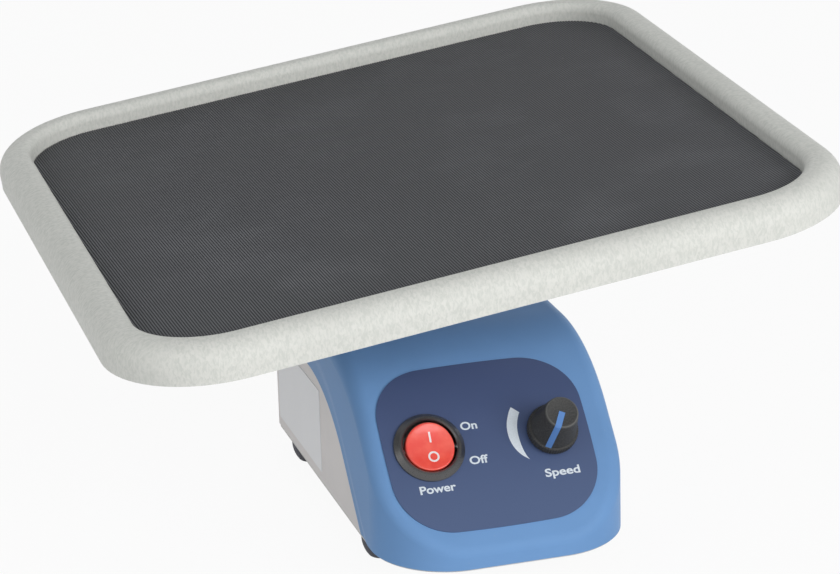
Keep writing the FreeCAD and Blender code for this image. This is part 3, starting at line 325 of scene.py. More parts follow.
@dataclass(frozen=True)
class PanelFrame:
    """Frame of the sloping panel: X to the right, Y up the slope, Z out of it."""

    front: float = -110.0
    lip: float = 14.2
    slope: float = 45.9
    controls: float = 35.0

    def at(self, x: float, along: float, out: float = 0.0) -> Matrix:
        """Frame of a control on the panel.

        Args:
            x: Distance to the right of the middle.
            along: Distance up the slope from the lip.
            out: Height above the panel.

        Returns:
            The move to the shaker's frame.
        """
        base = Matrix.Translation(Vector((0, self.front, self.lip)) + DRIVE_AXIS)
        slope = Matrix.Rotation(math.radians(self.slope), 4, "X")
        return base @ slope @ Matrix.Translation((x, along, out))


@dataclass(frozen=True)
class PlatformFrame:
    """Tilted frame of the platform about the pivot of the drive."""

    tilt: float = 8.0
    azimuth: float = 15.3
    pivot: float = 77.1
    rib_turn: float = 2.6

    def place(self) -> Matrix:
        """Move from the platform's frame to the shaker's."""
        azimuth = math.radians(self.azimuth)
        axis = Vector((math.sin(azimuth), -math.cos(azimuth), 0))
        pivot = Matrix.Translation(Vector((0, 0, self.pivot)) + DRIVE_AXIS)
        return pivot @ Matrix.Rotation(math.radians(self.tilt), 4, axis)

    def ribs(self) -> Matrix:
        """Move from the frame of the mat's ribs, which run along its Y, to the shaker's."""
        return self.place() @ Matrix.Rotation(math.radians(self.rib_turn), 4, "Z")


@dataclass(frozen=True)
class KnobFrame:
    """The knob's place on the panel and the size of its cap."""

    panel: PanelFrame = PanelFrame()
    x: float = 18.7
    top: float = 15.1
    cap: float = 5.2

    def place(self) -> Matrix:
        """Move from the knob's frame to the shaker's."""
        return self.panel.at(self.x, self.panel.controls)


@dataclass(frozen=True)
class Moulded:
    """Injection-moulded plastic with a spark-eroded grain and faint clouding.

    Attributes:
        grain: Width of the grain, and depth how deep it is.
        cloud: Share by which the shade varies.
        dust: How strongly specks of lint show.
    """

    name: str
    colour: Colour
    rough: float = 0.42
    grain: float = 0.35
    depth: float = 0.006
    cloud: float = 0.05
    dust: float = 0.0
    coat: float = 0.0
    shine: float = 0.4

    def make(self) -> bpy.types.Material:
        """Build the material."""
        g = Graph(self.name)
        clouds = g.noise(30.0, 4.0)
        dark, light = (toned(self.colour, 1 + sign * self.cloud) for sign in (-1, 1))
        shade = clouds.ramp(0.3, 0.7).blend(dark, light)
        if self.dust:
            lint = (g.cells(3.1) < 0.045) * (g.noise(9.0) > 0.56)
            shade = (lint * self.dust).blend(shade, paint(205, 205, 200))
        fine = g.noise(self.grain, 2.0)
        wave = g.noise(6.0, 1.0)
        normal = g.bump(wave, self.depth * 3, g.bump(fine, self.depth))
        rough = self.rough + (fine - 0.5) * 0.18 + (clouds - 0.5) * 0.1
        return g.surface(Base_Color=shade, Roughness=rough, Normal=normal, Coat_Weight=self.coat,
                         Coat_Roughness=0.25, Specular_IOR_Level=self.shine)


@dataclass(frozen=True)
class Grained:
    """Pale moulding with a fine leather grain drawn across the rim, its pits painted darker as shade."""

    name: str
    colour: Colour
    # Colour of the painted shade in the grain's creases
    pit_shade: Colour
    tray: PlatformFrame = PlatformFrame()
    size: float = 0.8
    drawn: float = 0.5
    turn_of_grain: float = 14.0
    warp: float = 0.6
    depth: float = 0.035

    def make(self) -> bpy.types.Material:
        """Build the material."""
        g = Graph(self.name)
        x, y = (abs(g.along(self.tray.place(), i)) for i in range(2))
        side = (x - y).ramp(-self.turn_of_grain, self.turn_of_grain)
        front_grain = g.noise(self.size, 2.0, g.place((1.0, self.drawn, self.drawn)), warp=self.warp)
        side_grain = g.noise(self.size, 2.0, g.place((self.drawn, 1.0, self.drawn)), warp=self.warp)
        grain = front_grain * (1 - side) + side_grain * side
        crease = grain.ramp(0.3, 0.66)
        tufts = g.noise(0.5, 2.0)
        stain = g.noise(45.0, 4.0)
        base = stain.ramp(0.35, 0.7).blend(self.colour, toned(self.colour, 0.965))
        # Painted shade: the grain's low spots are blended towards a darker colour
        shade = ((1 - crease) * 0.6).blend(base, self.pit_shade)
        normal = g.bump(crease * 0.7 + tufts * 0.3, self.depth)
        return g.surface(Base_Color=shade, Roughness=0.5 + (1 - crease) * 0.12 + (tufts - 0.5) * 0.15,
                         Normal=normal, Specular_IOR_Level=0.25)


@dataclass(frozen=True)
class Rubber:
    """Matt rubber with lint on it, ribbed or plain, with the ribs' valleys painted darker as shade."""

    name: str
    colour: Colour
    rough: float = 0.72
    weave: float = 0.0
    lint: float = 0.5
    pitch: float = 0.0
    # Share of the colour left in the painted shade of the rib valleys
    valley_shade: float = 0.5
    shine: float = 0.1

    def make(self) -> bpy.types.Material:
        """Build the material."""
        g = Graph(self.name)
        fine = g.noise(0.3, 2.0)
        haze = g.noise(38.0, 5.0, rough=0.6)
        shade = haze.ramp(0.42, 0.75).blend(self.colour, [c * 1.28 + 0.004 for c in self.colour])
        specks = (g.cells(7.0) < 0.032) * (g.noise(13.0) > 0.5)
        height = fine
        if self.pitch:
            across = g.along(PlatformFrame().ribs(), 0) / self.pitch
            # Painted shade: the valleys between the ribs are darkened
            shaded_valley = abs((across - RIB_VALLEY + 0.5).fraction() - 0.5).ramp(0.27, 0.12)
            shade = shaded_valley.blend(shade, toned(self.colour, self.valley_shade))
        shade = (specks * self.lint).blend(shade, paint(165, 165, 160))
        if self.weave:
            # A wave of scale 1 is pi / 10 long
            scale = 0.314 / self.weave
            weft = g.node("ShaderNodeTexWave", {"bands_direction": "Y"},
                          {"Vector": g.place(), "Scale": scale, "Distortion": 0.6, "Detail": 1.0})
            height = fine * 0.4 + weft * 0.6
            shade = (weft * 0.15).blend(shade, toned(self.colour, 1.6))
        normal = g.bump(height, 0.03)
        return g.surface(Base_Color=shade, Roughness=self.rough + (fine - 0.5) * 0.2 + (haze - 0.5) * 0.15,
                         Normal=normal, Specular_IOR_Level=self.shine)


@dataclass(frozen=True)
class WornAndLitGrip:
    """Grained black plastic whose cap has a paler edge from wear, and a top face painted lighter as light
    from above.
    """

    name: str
    colour: Colour
    # Paler colour of the edge worn by wear and of the painted light on the top face
    worn_and_lit: Colour
    knob: KnobFrame = KnobFrame()
    width: float = 0.45
    side: float = 0.7
    # Depth below the cap's top that is painted lighter as light from above
    face: float = 0.2

    def make(self) -> bpy.types.Material:
        """Build the material."""
        g = Graph(self.name)
        place = self.knob.place()
        across, up, height = (g.along(place, i) for i in range(3))
        radius = (across * across + up * up) ** 0.5
        grain = g.noise(0.45, 3.0, rough=0.7)
        patches = g.noise(4.0, 3.0)
        edge = abs(radius - self.knob.cap + self.width / 2).ramp(self.width, 0.0)
        near = edge * (height > self.knob.top - self.side)
        # Painted light: the cap's top face is lightened as if lit from above
        lit_top_face = (height > self.knob.top - self.face) * 0.15
        shade = grain.ramp(0.35, 0.75).blend(toned(self.colour, 0.7), toned(self.colour, 1.5))
        # The edge is paler from wear; the top face is lighter from painted light
        shade = (near * 0.7 + lit_top_face).blend(shade, self.worn_and_lit)
        shade = ((g.cells(2.3) < 0.05) * (patches > 0.52) * 0.4).blend(shade, paint(190, 188, 182))
        return g.surface(Base_Color=shade, Roughness=0.6 + (grain - 0.5) * 0.2 + (patches - 0.5) * 0.1,
                         Normal=g.bump(grain, 0.06), Specular_IOR_Level=0.25)


class Tooling(Enum):
    """How a metal piece was worked, as the stretch of its marks along X, Y and Z."""

    TURNED = (0.4, 0.4, 9.0)
    DRAWN = (6.0, 6.0, 0.25)
    ROLLED = (0.3, 7.0, 7.0)
    CAST = (1.0, 1.0, 1.0)


@dataclass(frozen=True)
class Metal:
    """Bare metal with tool marks, oil haze and small scratches."""

    name: str
    colour: Colour
    tooling: Tooling
    rough: float = 0.3
    depth: float = 0.008

    def make(self) -> bpy.types.Material:
        """Build the material."""
        g = Graph(self.name)
        marks = g.noise(1.1, 4.0, g.place(self.tooling.value))
        haze = g.noise(8.0, 4.0)
        scratch = g.cells(2.6, "DISTANCE_TO_EDGE", g.place((1.0, 0.2, 0.6), (20, 35, 50))).ramp(0.018, 0.0)
        shade = haze.ramp(0.35, 0.7).blend(toned(self.colour, 0.9), self.colour)
        return g.surface(Base_Color=shade, Metallic=1.0,
                         Roughness=self.rough + (marks - 0.5) * 0.22 + (haze - 0.5) * 0.2 + scratch * 0.1,
                         Normal=g.bump(marks - scratch * 0.4, self.depth))


@dataclass(frozen=True)
class Ink:
    """Screen-printed ink with a slightly uneven edge and cover."""

    name: str
    colour: Colour
    rough: float = 0.45

    def make(self) -> bpy.types.Material:
        """Build the material."""
        g = Graph(self.name)
        cover = g.noise(0.4, 3.0)
        shade = cover.ramp(0.25, 0.6).blend(toned(self.colour, 0.9), self.colour)
        return g.surface(Base_Color=shade, Roughness=self.rough + (cover - 0.5) * 0.2,
                         Normal=g.bump(cover, 0.004))


@dataclass(frozen=True)
class Film:
    """Printed front film, painted darker towards its top as shade from the tray above, and lighter towards
    its lower edge as painted light.
    """

    name: str
    top: Colour
    foot: Colour
    low: float
    high: float

    def make(self) -> bpy.types.Material:
        """Build the material."""
        g = Graph(self.name)
        height = g.node("ShaderNodeSeparateXYZ", None, {0: g.place()}, output="Z")
        blotch = g.noise(16.0, 4.0)
        # Painted shade and light: darker up high under the tray, lighter towards the lower edge
        tone = height.ramp(self.low, self.high) + (blotch - 0.5) * 0.12
        shade = tone.blend(self.foot, self.top)
        texture = g.noise(0.18, 2.0)
        return g.surface(Base_Color=shade, Roughness=0.38 + (texture - 0.5) * 0.2 + (blotch - 0.5) * 0.1,
                         Normal=g.bump(texture, 0.004), Specular_IOR_Level=0.35)


@dataclass(frozen=True)
class Lens:
    """Translucent red plastic of the rocker."""

    name: str
    colour: Colour
    deep: Colour

    def make(self) -> bpy.types.Material:
        """Build the material."""
        g = Graph(self.name)
        flow = g.noise(5.0, 3.0)
        gloss = g.noise(0.6, 3.0)
        shade = flow.ramp(0.3, 0.7).blend(self.colour, self.deep)
        return g.surface(Base_Color=shade, Roughness=0.24 + (gloss - 0.5) * 0.14, Normal=g.bump(flow, 0.02),
                         Subsurface_Weight=0.35, Subsurface_Radius=(0.004, 0.0012, 0.0008),
                         Coat_Weight=0.3, Coat_Roughness=0.08)


@dataclass(frozen=True)
class Felt:
    """Pressed grey felt."""

    name: str
    colour: Colour

    def make(self) -> bpy.types.Material:
        """Build the material."""
        g = Graph(self.name)
        hairs = g.noise(0.4, 5.0, g.place((1.0, 3.0, 1.0)), rough=0.7, warp=1.5)
        shade = hairs.ramp(0.3, 0.7).blend(toned(self.colour, 0.6), self.colour)
        return g.surface(Base_Color=shade, Roughness=0.9 + (hairs - 0.5) * 0.1, Normal=g.bump(hairs, 0.2))


@dataclass(frozen=True)
class Laminate:
    """Green lacquered board with copper tracks showing through."""

    name: str
    colour: Colour
    track: Colour

    def make(self) -> bpy.types.Material:
        """Build the material."""
        g = Graph(self.name)
        grid = g.node("ShaderNodeTexBrick", {"offset": 0.35}, {
            "Vector": g.place(), "Scale": 0.34, "Mortar Size": 0.06, "Mortar Smooth": 0.1}, output="Fac")
        tracks = grid * (g.noise(7.0) > 0.47)
        cloth = g.noise(0.3, 2.0)
        return g.surface(Base_Color=tracks.blend(self.colour, self.track),
                         Roughness=0.28 + (cloth - 0.5) * 0.12 + tracks * 0.08,
                         Normal=g.bump(tracks * 0.8 + cloth * 0.2, 0.035))


class Finishes(Enum):
    """All finishes of the shaker."""

    COVER = Moulded("cover_blue", paint(116, 157, 206), grain=0.5, depth=0.005, cloud=0.03, dust=0.2,
                    shine=0.07)
    SIDE = Moulded("side_grey", paint(229, 224, 222), rough=0.45, cloud=0.03, shine=0.3)
    PLATE = Moulded("plate_grey", paint(206, 204, 200), rough=0.5, cloud=0.04)
    LABEL = Moulded("label_stock", paint(234, 234, 236), rough=0.33, grain=0.2, depth=0.002, cloud=0.02)
    BEZEL = Moulded("switch_black", paint(42, 41, 42), rough=0.3, grain=0.25, depth=0.008, cloud=0.1,
                    coat=0.5, shine=0.9)
    KNOB = WornAndLitGrip("knob_black", paint(61, 61, 61), paint(104, 104, 102))
    POINTER = Moulded("pointer_blue", paint(96, 140, 202), rough=0.4, depth=0.004, cloud=0.04, shine=0.35)
    FORK = Moulded("fork_nylon", paint(226, 222, 208), rough=0.42, cloud=0.05)
    CHIP = Moulded("component_black", paint(40, 40, 42), rough=0.5, cloud=0.1)
    TRAY = Grained("tray_white", paint(226, 226, 220), paint(201, 204, 197))
    MAT = Rubber("mat_rubber", paint(102, 103, 106), weave=0.9, pitch=RIB_PITCH, valley_shade=0.2, shine=0.12)
    FOOT = Rubber("foot_rubber", paint(100, 100, 106), rough=0.66, lint=0.3)
    BELT = Rubber("belt_rubber", paint(36, 36, 38), rough=0.6, lint=0.3)
    STEEL = Metal("steel", (0.62, 0.62, 0.63), Tooling.TURNED)
    DRAWN = Metal("drawn_steel", (0.6, 0.6, 0.61), Tooling.DRAWN, rough=0.26)
    SHEET = Metal("rolled_sheet", (0.68, 0.68, 0.69), Tooling.ROLLED, rough=0.36)
    BEARING = Metal("bearing_steel", (0.66, 0.66, 0.67), Tooling.TURNED, rough=0.18)
    ALUMINIUM = Metal("aluminium", (0.8, 0.8, 0.81), Tooling.TURNED, rough=0.32)
    CASTING = Metal("cast_aluminium", (0.72, 0.72, 0.73), Tooling.CAST, rough=0.46, depth=0.05)
    BRASS = Metal("brass", (0.78, 0.58, 0.26), Tooling.TURNED, rough=0.3)
    FILM = Film("overlay_navy", paint(71, 85, 123), paint(77, 94, 130), 18.0, 58.0)
    PRINT = Ink("print_white", paint(224, 232, 240))
    MARK = Ink("mark_white", paint(248, 236, 236), rough=0.35)
    LENS = Lens("rocker_red", paint(255, 102, 84), paint(246, 78, 66))
    SEAL = Felt("seal_felt", paint(150, 148, 140))
    BOARD = Laminate("board_green", paint(28, 92, 56), paint(58, 122, 78))

    def material(self) -> bpy.types.Material:
        """Material of this finish, built once."""
        if self not in MADE:
            MADE[self] = self.value.make()
        return MADE[self]


MADE: dict[Finishes, bpy.types.Material] = {}


def dress(finish: Finishes, *nodes: str) -> None:
    """Give solids a finish.

    Args:
        finish: The finish.
        *nodes: Names of the solids' nodes.
    """
    for name in nodes:
        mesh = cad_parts[name].data
        mesh.materials.clear()
        mesh.materials.append(finish.material())


@dataclass
class Form:
    """A piece of mesh under construction, in millimetres."""

    points: list[Vector] = field(default_factory=list)
    faces: list[tuple[int, ...]] = field(default_factory=list)

    def ring(self, points: Sequence[Point]) -> list[int]:
        """Add a row of points.

        Args:
            points: Their places.

        Returns:
            Their numbers.
        """
        start = len(self.points)
        self.points += [Vector(p) for p in points]
        return list(range(start, len(self.points)))

    def skin(self, rings: Sequence[list[int]], closed: bool = True) -> None:
        """Join rows of points with faces.

        Args:
            rings: Rows of equal length.
            closed: Whether each row runs round.
        """
        for low, high in zip(rings, rings[1:]):
            count = len(low)
            for i in range(count if closed else count - 1):
                j = (i + 1) % count
                self.faces.append((low[i], low[j], high[j], high[i]))

    def lid(self, ring: Sequence[int], flip: bool = False) -> None:
        """Close a row of points with one face.

        Args:
            ring: The row.
            flip: Whether the face looks the other way.
        """
        self.faces.append(tuple(reversed(ring)) if flip else tuple(ring))

    def piece(self, name: str, place: Matrix, finish: Finishes, body: str,
              sharp: float = 40.0, stands_for: Sequence[str] = ()) -> bpy.types.Object:
        """Make the object.

        Args:
            name: Name of the piece.
            place: Move from its local frame to the shaker's, in millimetres.
            finish: Its finish.
            body: Body that it rides on.
            sharp: Angle above which an edge stays sharp, in degrees.
            stands_for: Solids that it replaces.

        Returns:
            The object.
        """
        mesh = bpy.data.meshes.new(name)
        mesh.from_pydata([(place @ p) * MM for p in self.points], [], self.faces)
        mesh.shade_smooth()
        mesh.set_sharp_from_angle(angle=math.radians(sharp))
        mesh.materials.append(finish.material())
        made = bpy.data.objects.new(name, mesh)
        bpy.context.scene.collection.objects.link(made)
        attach(made, body)
        if stands_for:
            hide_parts(*stands_for)
        LOG.info("%s: %d faces on %s", name, len(self.faces), body)
        return made


def circle(radius: float, height: float, count: int,
           wobble: Callable[[float], float] = lambda a: 0.0) -> list[Point]:
    """Points round the Z axis.

    Args:
        radius: Radius.
        height: Their height.
        count: How many.
        wobble: Extra radius for an angle.

    Returns:
        The points.
    """
    polar = [(radius + wobble(a), a) for a in (2 * math.pi * i / count for i in range(count))]
    return [(r * math.cos(a), r * math.sin(a), height) for r, a in polar]


def rounded(corners: Sequence[tuple[float, float, float]], steps: int = 5) -> list[tuple[float, float]]:
    """Round the corners of an open line.

    Args:
        corners: Radius, height and rounding of each corner.
        steps: Points on each rounding.

    Returns:
        The rounded line as radius and height.
    """
    line = []
    for i, (r, z, size) in enumerate(corners):
        here = Vector((r, z))
        if i in (0, len(corners) - 1) or size <= 0:
            line.append((r, z))
            continue
        before = (Vector(corners[i - 1][:2]) - here).normalized() * size
        after = (Vector(corners[i + 1][:2]) - here).normalized() * size
        for k in range(steps + 1):
            t = k / steps
            spot = (here + before) * (1 - t) ** 2 + here * 2 * t * (1 - t) + (here + after) * t * t
            line.append((spot.x, spot.y))
    return line


@dataclass
class Casing:
    """Front cover, rear body, base plate, label and feet."""

    def build(self) -> None:
        """Dress the casing."""
        dress(Finishes.COVER, "front_cover")
        dress(Finishes.SIDE, "rear_body")
        dress(Finishes.PLATE, "base_plate")
        dress(Finishes.LABEL, "side_label")
        dress(Finishes.FOOT, "rubber_feet")
        dress(Finishes.STEEL, "cover_screws", "foot_screws")


@dataclass
class Mark:
    """A printed control word."""

    text: str
    left: float
    right: float
    baseline: float


@dataclass
class ControlPanel:
    """Film on the panel with its words and the speed scale.

    Attributes:
        film_top: Height of the film, and ink that of the print above it.
        bold: How much the letters' strokes are widened.
        capital: Height of a capital letter of size 1.
        scale_outer: Radii along the scale's outer edge, and scale_inner along its inner one.
    """

    panel: PanelFrame
    film_top: float = 0.4
    ink: float = 0.03
    bold: float = 0.024
    smooth: int = 6
    cap_height: float = 2.65
    capital: float = 0.729
    marks: tuple[Mark, ...] = (
        Mark("On", -9.4, -4.1, 39.35), Mark("Off", -9.1, -3.2, 27.85),
        Mark("Power", -26.7, -15.3, 20.35), Mark("Speed", 13.4, 24.6, 20.4))
    scale_start: float = 138.0
    scale_end: float = 222.0
    scale_steps: int = 48
    scale_outer: tuple[float, ...] = (14.5, 14.2, 14.0, 13.75, 13.4, 12.85, 12.1)
    scale_inner: tuple[float, ...] = (11.4, 11.0, 10.75, 10.65, 10.85, 11.4, 12.05)

    def build(self) -> None:
        """Dress the film and add what is printed on it."""
        dress(Finishes.FILM, "panel_overlay")
        for mark in self.marks:
            self.word(mark)
        self.scale()

    def word(self, mark: Mark) -> None:
        """Print one control word.

        Args:
            mark: The word and its place.
        """
        curve = bpy.data.curves.new(mark.text.lower(), "FONT")
        curve.body, curve.size, curve.extrude = mark.text, 1.0, 0.01
        curve.offset, curve.resolution_u = self.bold, self.smooth
        source = bpy.data.objects.new("letters", curve)
        bpy.context.scene.collection.objects.link(source)
        bpy.context.view_layer.update()
        shape = bpy.data.meshes.new_from_object(source.evaluated_get(bpy.context.evaluated_depsgraph_get()))
        bpy.data.objects.remove(source)
        spots = [v.co.copy() for v in shape.vertices]
        left, right = min(p.x for p in spots), max(p.x for p in spots)
        wide, tall = (mark.right - mark.left) / (right - left), self.cap_height / self.capital
        form = Form()
        form.ring([((p.x - left) * wide + mark.left, p.y * tall + mark.baseline,
                    self.film_top + (self.ink if p.z > 0 else -PRINT_SINK)) for p in spots])
        form.faces = [tuple(f.vertices) for f in shape.polygons]
        form.piece("word_" + mark.text.lower(), self.panel.at(0, 0), Finishes.PRINT, "base",
                   30.0)

    def scale(self) -> None:
        """Print the tapering scale to the left of the knob."""
        form = Form()
        outer, inner = [], []
        for i in range(self.scale_steps + 1):
            t = i / self.scale_steps
            angle = math.radians(self.scale_start + (self.scale_end - self.scale_start) * t)
            for store, radii in ((outer, self.scale_outer), (inner, self.scale_inner)):
                r = self.between(radii, t)
                store.append((r * math.cos(angle), r * math.sin(angle)))
        rows = []
        sunk, raised = self.film_top - PRINT_SINK, self.film_top + self.ink
        for line, height in ((outer, sunk), (outer, raised), (inner, raised), (inner, sunk)):
            rows.append(form.ring([(x, y, height) for x, y in line]))
        form.skin(rows, closed=False)
        form.lid([row[0] for row in rows])
        form.lid([row[-1] for row in rows], flip=True)
        form.piece("speed_scale", KnobFrame().place(), Finishes.PRINT, "base", 30.0)

    def between(self, values: Sequence[float], t: float) -> float:
        """Smooth value between evenly spaced ones.

        Args:
            values: The spaced values.
            t: Place from 0 to 1.

        Returns:
            The value there.
        """
        spot = min(t * (len(values) - 1), len(values) - 1.001)
        i = int(spot)
        u = spot - i
        p = [values[max(0, min(len(values) - 1, i + k))] for k in (-1, 0, 1, 2)]
        return 0.5 * (2 * p[1] + (p[2] - p[0]) * u + (2 * p[0] - 5 * p[1] + 4 * p[2] - p[3]) * u * u
                      + (3 * p[1] - p[0] - 3 * p[2] + p[3]) * u ** 3)


@dataclass
class PowerSwitch:
    """Round rocker switch with its bezel and marks.

    Attributes:
        edge: Height of the rocker's rim above the panel.
        pivot: Height of its pin, and tilt the angle at which it is switched.
        hollow: Radius of the dished face, and lip the rounding of its rim.
        rings: First radius, step and number of the face's rings of points.
        stem: Radius and height of the corners of its foot.
        shift: How far the marks stand to the right.
    """

    panel: PanelFrame
    x: float = -20.7
    radius: float = 7.7
    edge: float = 3.0
    pivot: float = -1.0
    tilt: float = 6.0
    hollow: float = 32.0
    lip: float = 0.55
    rings: tuple[float, float, int] = (0.6, 0.65, 10)
    stem: tuple[tuple[float, float], ...] = ((5.7, -5.6), (5.3, -6.0))
    sides: int = 72
    stroke: float = 0.3
    ink: float = 0.04
    shift: float = 0.45
    bar: tuple[float, float] = (1.4, 4.7)
    ring_centre: float = -3.2
    ring_radius: float = 1.45

    def build(self) -> None:
        """Dress the housing and make the rocker with its marks."""
        dress(Finishes.BEZEL, "switch_housing")
        dress(Finishes.BRASS, "switch_terminals")
        dress(Finishes.STEEL, "rocker_pin")
        place = self.panel.at(self.x, self.panel.controls) @ Matrix.Translation((0, 0, self.pivot)) \
            @ Matrix.Rotation(math.radians(self.tilt), 4, "X") @ Matrix.Translation((0, 0, -self.pivot))
        self.rocker(place)
        self.letters(place)

    def face(self, x: float, y: float) -> float:
        """Height of the dished face.

        Args:
            x: Place across.
            y: Place up the panel.

        Returns:
            The height, with its rounded rim.
        """
        sagitta = self.hollow - math.sqrt(self.hollow ** 2 - self.radius ** 2)
        level = self.edge + self.hollow - sagitta - math.sqrt(self.hollow ** 2 - y * y)
        over = max(0.0, math.hypot(x, y) - (self.radius - self.lip))
        return level - (self.lip - math.sqrt(max(0.0, self.lip ** 2 - over ** 2)))

    def rocker(self, place: Matrix) -> None:
        """Make the translucent rocker.

        Args:
            place: Its frame.
        """
        form = Form()
        first, step, rings = self.rings
        radii = [first + i * step for i in range(rings)] + [
            self.radius - self.lip * (1 - math.sin(math.radians(a))) for a in (0, 18, 36, 54, 72, 90)]
        rows = []
        for r in radii:
            rows.append(form.ring([(x, y, self.face(x, y)) for x, y, _ in circle(r, 0, self.sides)]))
        for r, z in ((self.radius, self.pivot), *self.stem):
            rows.append(form.ring(circle(r, z, self.sides)))
        form.skin(rows)
        form.lid(rows[0], flip=True)
        form.lid(rows[-1])
        form.faces = [tuple(reversed(f)) for f in form.faces]
        form.piece("rocker_button", place, Finishes.LENS, "rocker", 50.0, ["switch_rocker"])

    def letters(self, place: Matrix) -> None:
        """Print the bar and the ring on the rocker.

        Args:
            place: The rocker's frame.
        """
        section = ((-self.stroke, -PRINT_SINK), (-self.stroke, self.ink),
                   (self.stroke, self.ink), (self.stroke, -PRINT_SINK))
        bar = Form()
        rows = []
        low, high = self.bar
        for y in [low + (high - low) * i / 6 for i in range(7)]:
            rows.append(bar.ring([(self.shift + x, y, self.face(x, y) + h) for x, h in section]))
        bar.skin(rows)
        bar.lid(rows[0])
        bar.lid(rows[-1], flip=True)
        bar.piece("mark_bar", place, Finishes.MARK, "rocker")
        ring = Form()
        rows = []
        for wide, h in section:
            round_centre = circle(self.ring_radius + wide, 0, 48)
            spots = [(x + self.shift, y + self.ring_centre) for x, y, _ in round_centre]
            rows.append(ring.ring([(x, y, self.face(x, y) + h) for x, y in spots]))
        ring.skin(rows + rows[:1])
        ring.piece("mark_ring", place, Finishes.MARK, "rocker")


@dataclass
class SpeedControl:
    """Knob with its pointer, and the potentiometer behind it.

    Attributes:
        under: Height of the knob's underside.
        base: Radius of the cone where it leaves the skirt.
        dish: Depth of the cap's sunken face.
        hollow: Radius and height of the corners of its inside.
    """

    spot: KnobFrame
    under: float = 0.9
    skirt_top: float = 3.9
    skirt: float = 7.9
    base: float = 7.2
    bevel: float = 0.35
    dish: float = 0.06
    teeth: int = 60
    tooth: float = 0.1
    hollow: tuple[tuple[float, float], ...] = ((6.4, 0.9), (6.0, 1.2), (5.7, 3.4), (3.0, 3.4))

    def build(self) -> None:
        """Dress the control and make the knob."""
        dress(Finishes.POINTER, "knob_pointer")
        dress(Finishes.BRASS, "potentiometer_shaft")
        dress(Finishes.SHEET, "potentiometer")
        dress(Finishes.STEEL, "potentiometer_nut")
        self.knob()

    def knob(self) -> None:
        """Make the knob with the fine teeth of its skirt."""
        form = Form()
        count = self.teeth * 4
        top, cap = self.spot.top, self.spot.cap
        line = rounded([
            (self.hollow[0][0], self.under, 0), (self.skirt, self.under, 0.3),
            (self.skirt, self.skirt_top, 0.7), (self.base, self.skirt_top, 0.15),
            (cap, top - self.bevel, 0.15), (cap - self.bevel, top, 0.12),
            (cap - 0.8, top, 0.0), (cap - 0.9, top - self.dish, 0.0), (0.4, top - self.dish, 0.0)])
        rows = []
        for r, z in line:
            # The teeth grow over half a millimetre outside the foot of the cone
            depth = self.tooth * max(0.0, min(1.0, (r - self.base - 0.05) / 0.5))
            rows.append(form.ring(circle(r, z, count, lambda a: depth * math.cos(self.teeth * a))))
        inner = [form.ring(circle(r, z, count)) for r, z in self.hollow]
        form.skin(list(reversed(inner))[:-1] + rows)
        form.lid(rows[-1])
        form.piece("knob_body", self.spot.place(), Finishes.KNOB, "knob", 35.0,
                   ["speed_knob"])


@dataclass
class Platform:
    """Tray, mat, support plate and hub that nutate together.

    Attributes:
        top: Height of the mat's face above the pivot.
        rib: Height of a rib.
        bevel: Length of a rib's bevelled end, and end_drop its depth.
        halvings: Steps that find where a rib ends.
    """

    tilted: PlatformFrame
    side: float = 211.4
    corner: float = 25.2
    top: float = 26.0
    thick: float = 2.0
    rib: float = 0.16
    bevel: float = 0.3
    end_drop: float = 0.25
    halvings: int = 30

    def build(self) -> None:
        """Dress the platform and make the mat."""
        dress(Finishes.TRAY, "tray")
        dress(Finishes.SHEET, "support_plate")
        dress(Finishes.ALUMINIUM, "platform_hub", "hub_flange")
        dress(Finishes.DRAWN, "guide_pin")
        dress(Finishes.STEEL, "hub_screws", "tray_screws")
        dress(Finishes.BEARING, "platform_bearing_outer_ring")
        self.mat()

    def outside(self, across: float, along: float) -> float:
        """Distance of a spot from the mat's rounded outline, below 0 inside it.

        Args:
            across: Place across the ribs.
            along: Place along them.

        Returns:
            The distance.
        """
        turn = math.radians(self.tilted.rib_turn)
        x = across * math.cos(turn) - along * math.sin(turn)
        y = across * math.sin(turn) + along * math.cos(turn)
        straight = self.side / 2 - self.corner
        over = (abs(x) - straight, abs(y) - straight)
        return math.hypot(max(over[0], 0), max(over[1], 0)) + min(max(over), 0) - self.corner

    def end(self, across: float, inside: float, step: float) -> float:
        """Where a rib ends.

        Args:
            across: Place across the ribs.
            inside: A place along the rib inside the outline.
            step: Length beyond the outline, with its direction.

        Returns:
            The place along the rib.
        """
        low, high = inside, inside + step
        for _ in range(self.halvings):
            middle = (low + high) / 2
            low, high = (low, middle) if self.outside(across, middle) > 0 else (middle, high)
        return low

    def mat(self) -> None:
        """Make the ribbed mat."""
        form = Form()
        turn = math.radians(self.tilted.rib_turn)
        straight = self.side / 2 - self.corner
        # The outermost columns stay a hair inside the outline, and the others keep off them
        half = straight * (math.cos(turn) + math.sin(turn)) + self.corner - 0.001
        limit = half - 0.02
        lean = straight * (math.cos(turn) - math.sin(turn)) / half
        ribs = int(half / RIB_PITCH) + 1
        corners = [((i + u) * RIB_PITCH, h) for i in range(-ribs, ribs + 1) for u, h in RIB_PROFILE]
        columns = [(-half, 0.5), *((x, h) for x, h in corners if abs(x) < limit), (half, 0.5)]
        top, base = [], []
        for x, h in columns:
            first, last = (self.end(x, x * lean, step) for step in (-self.side, self.side))
            bevel = min(self.bevel, (last - first) / 3)
            rows = [first, first + bevel, last - bevel, last]
            z = self.top - self.rib * (1 - h)
            top.append(form.ring([(x, v, z - (self.end_drop if v in (first, last) else 0.0)) for v in rows]))
            base.append(form.ring([(x, v, self.top - self.thick) for v in rows]))
        form.skin(top, closed=False)
        form.skin([list(reversed(r)) for r in base], closed=False)
        for side in (0, -1):
            edge = [[t[side], b[side]] for t, b in zip(top, base)]
            form.skin(edge if side else [list(reversed(r)) for r in edge], closed=False)
        form.piece("ribbed_mat", self.tilted.ribs(), Finishes.MAT, "platform", 60.0,
                   ["rubber_mat"])


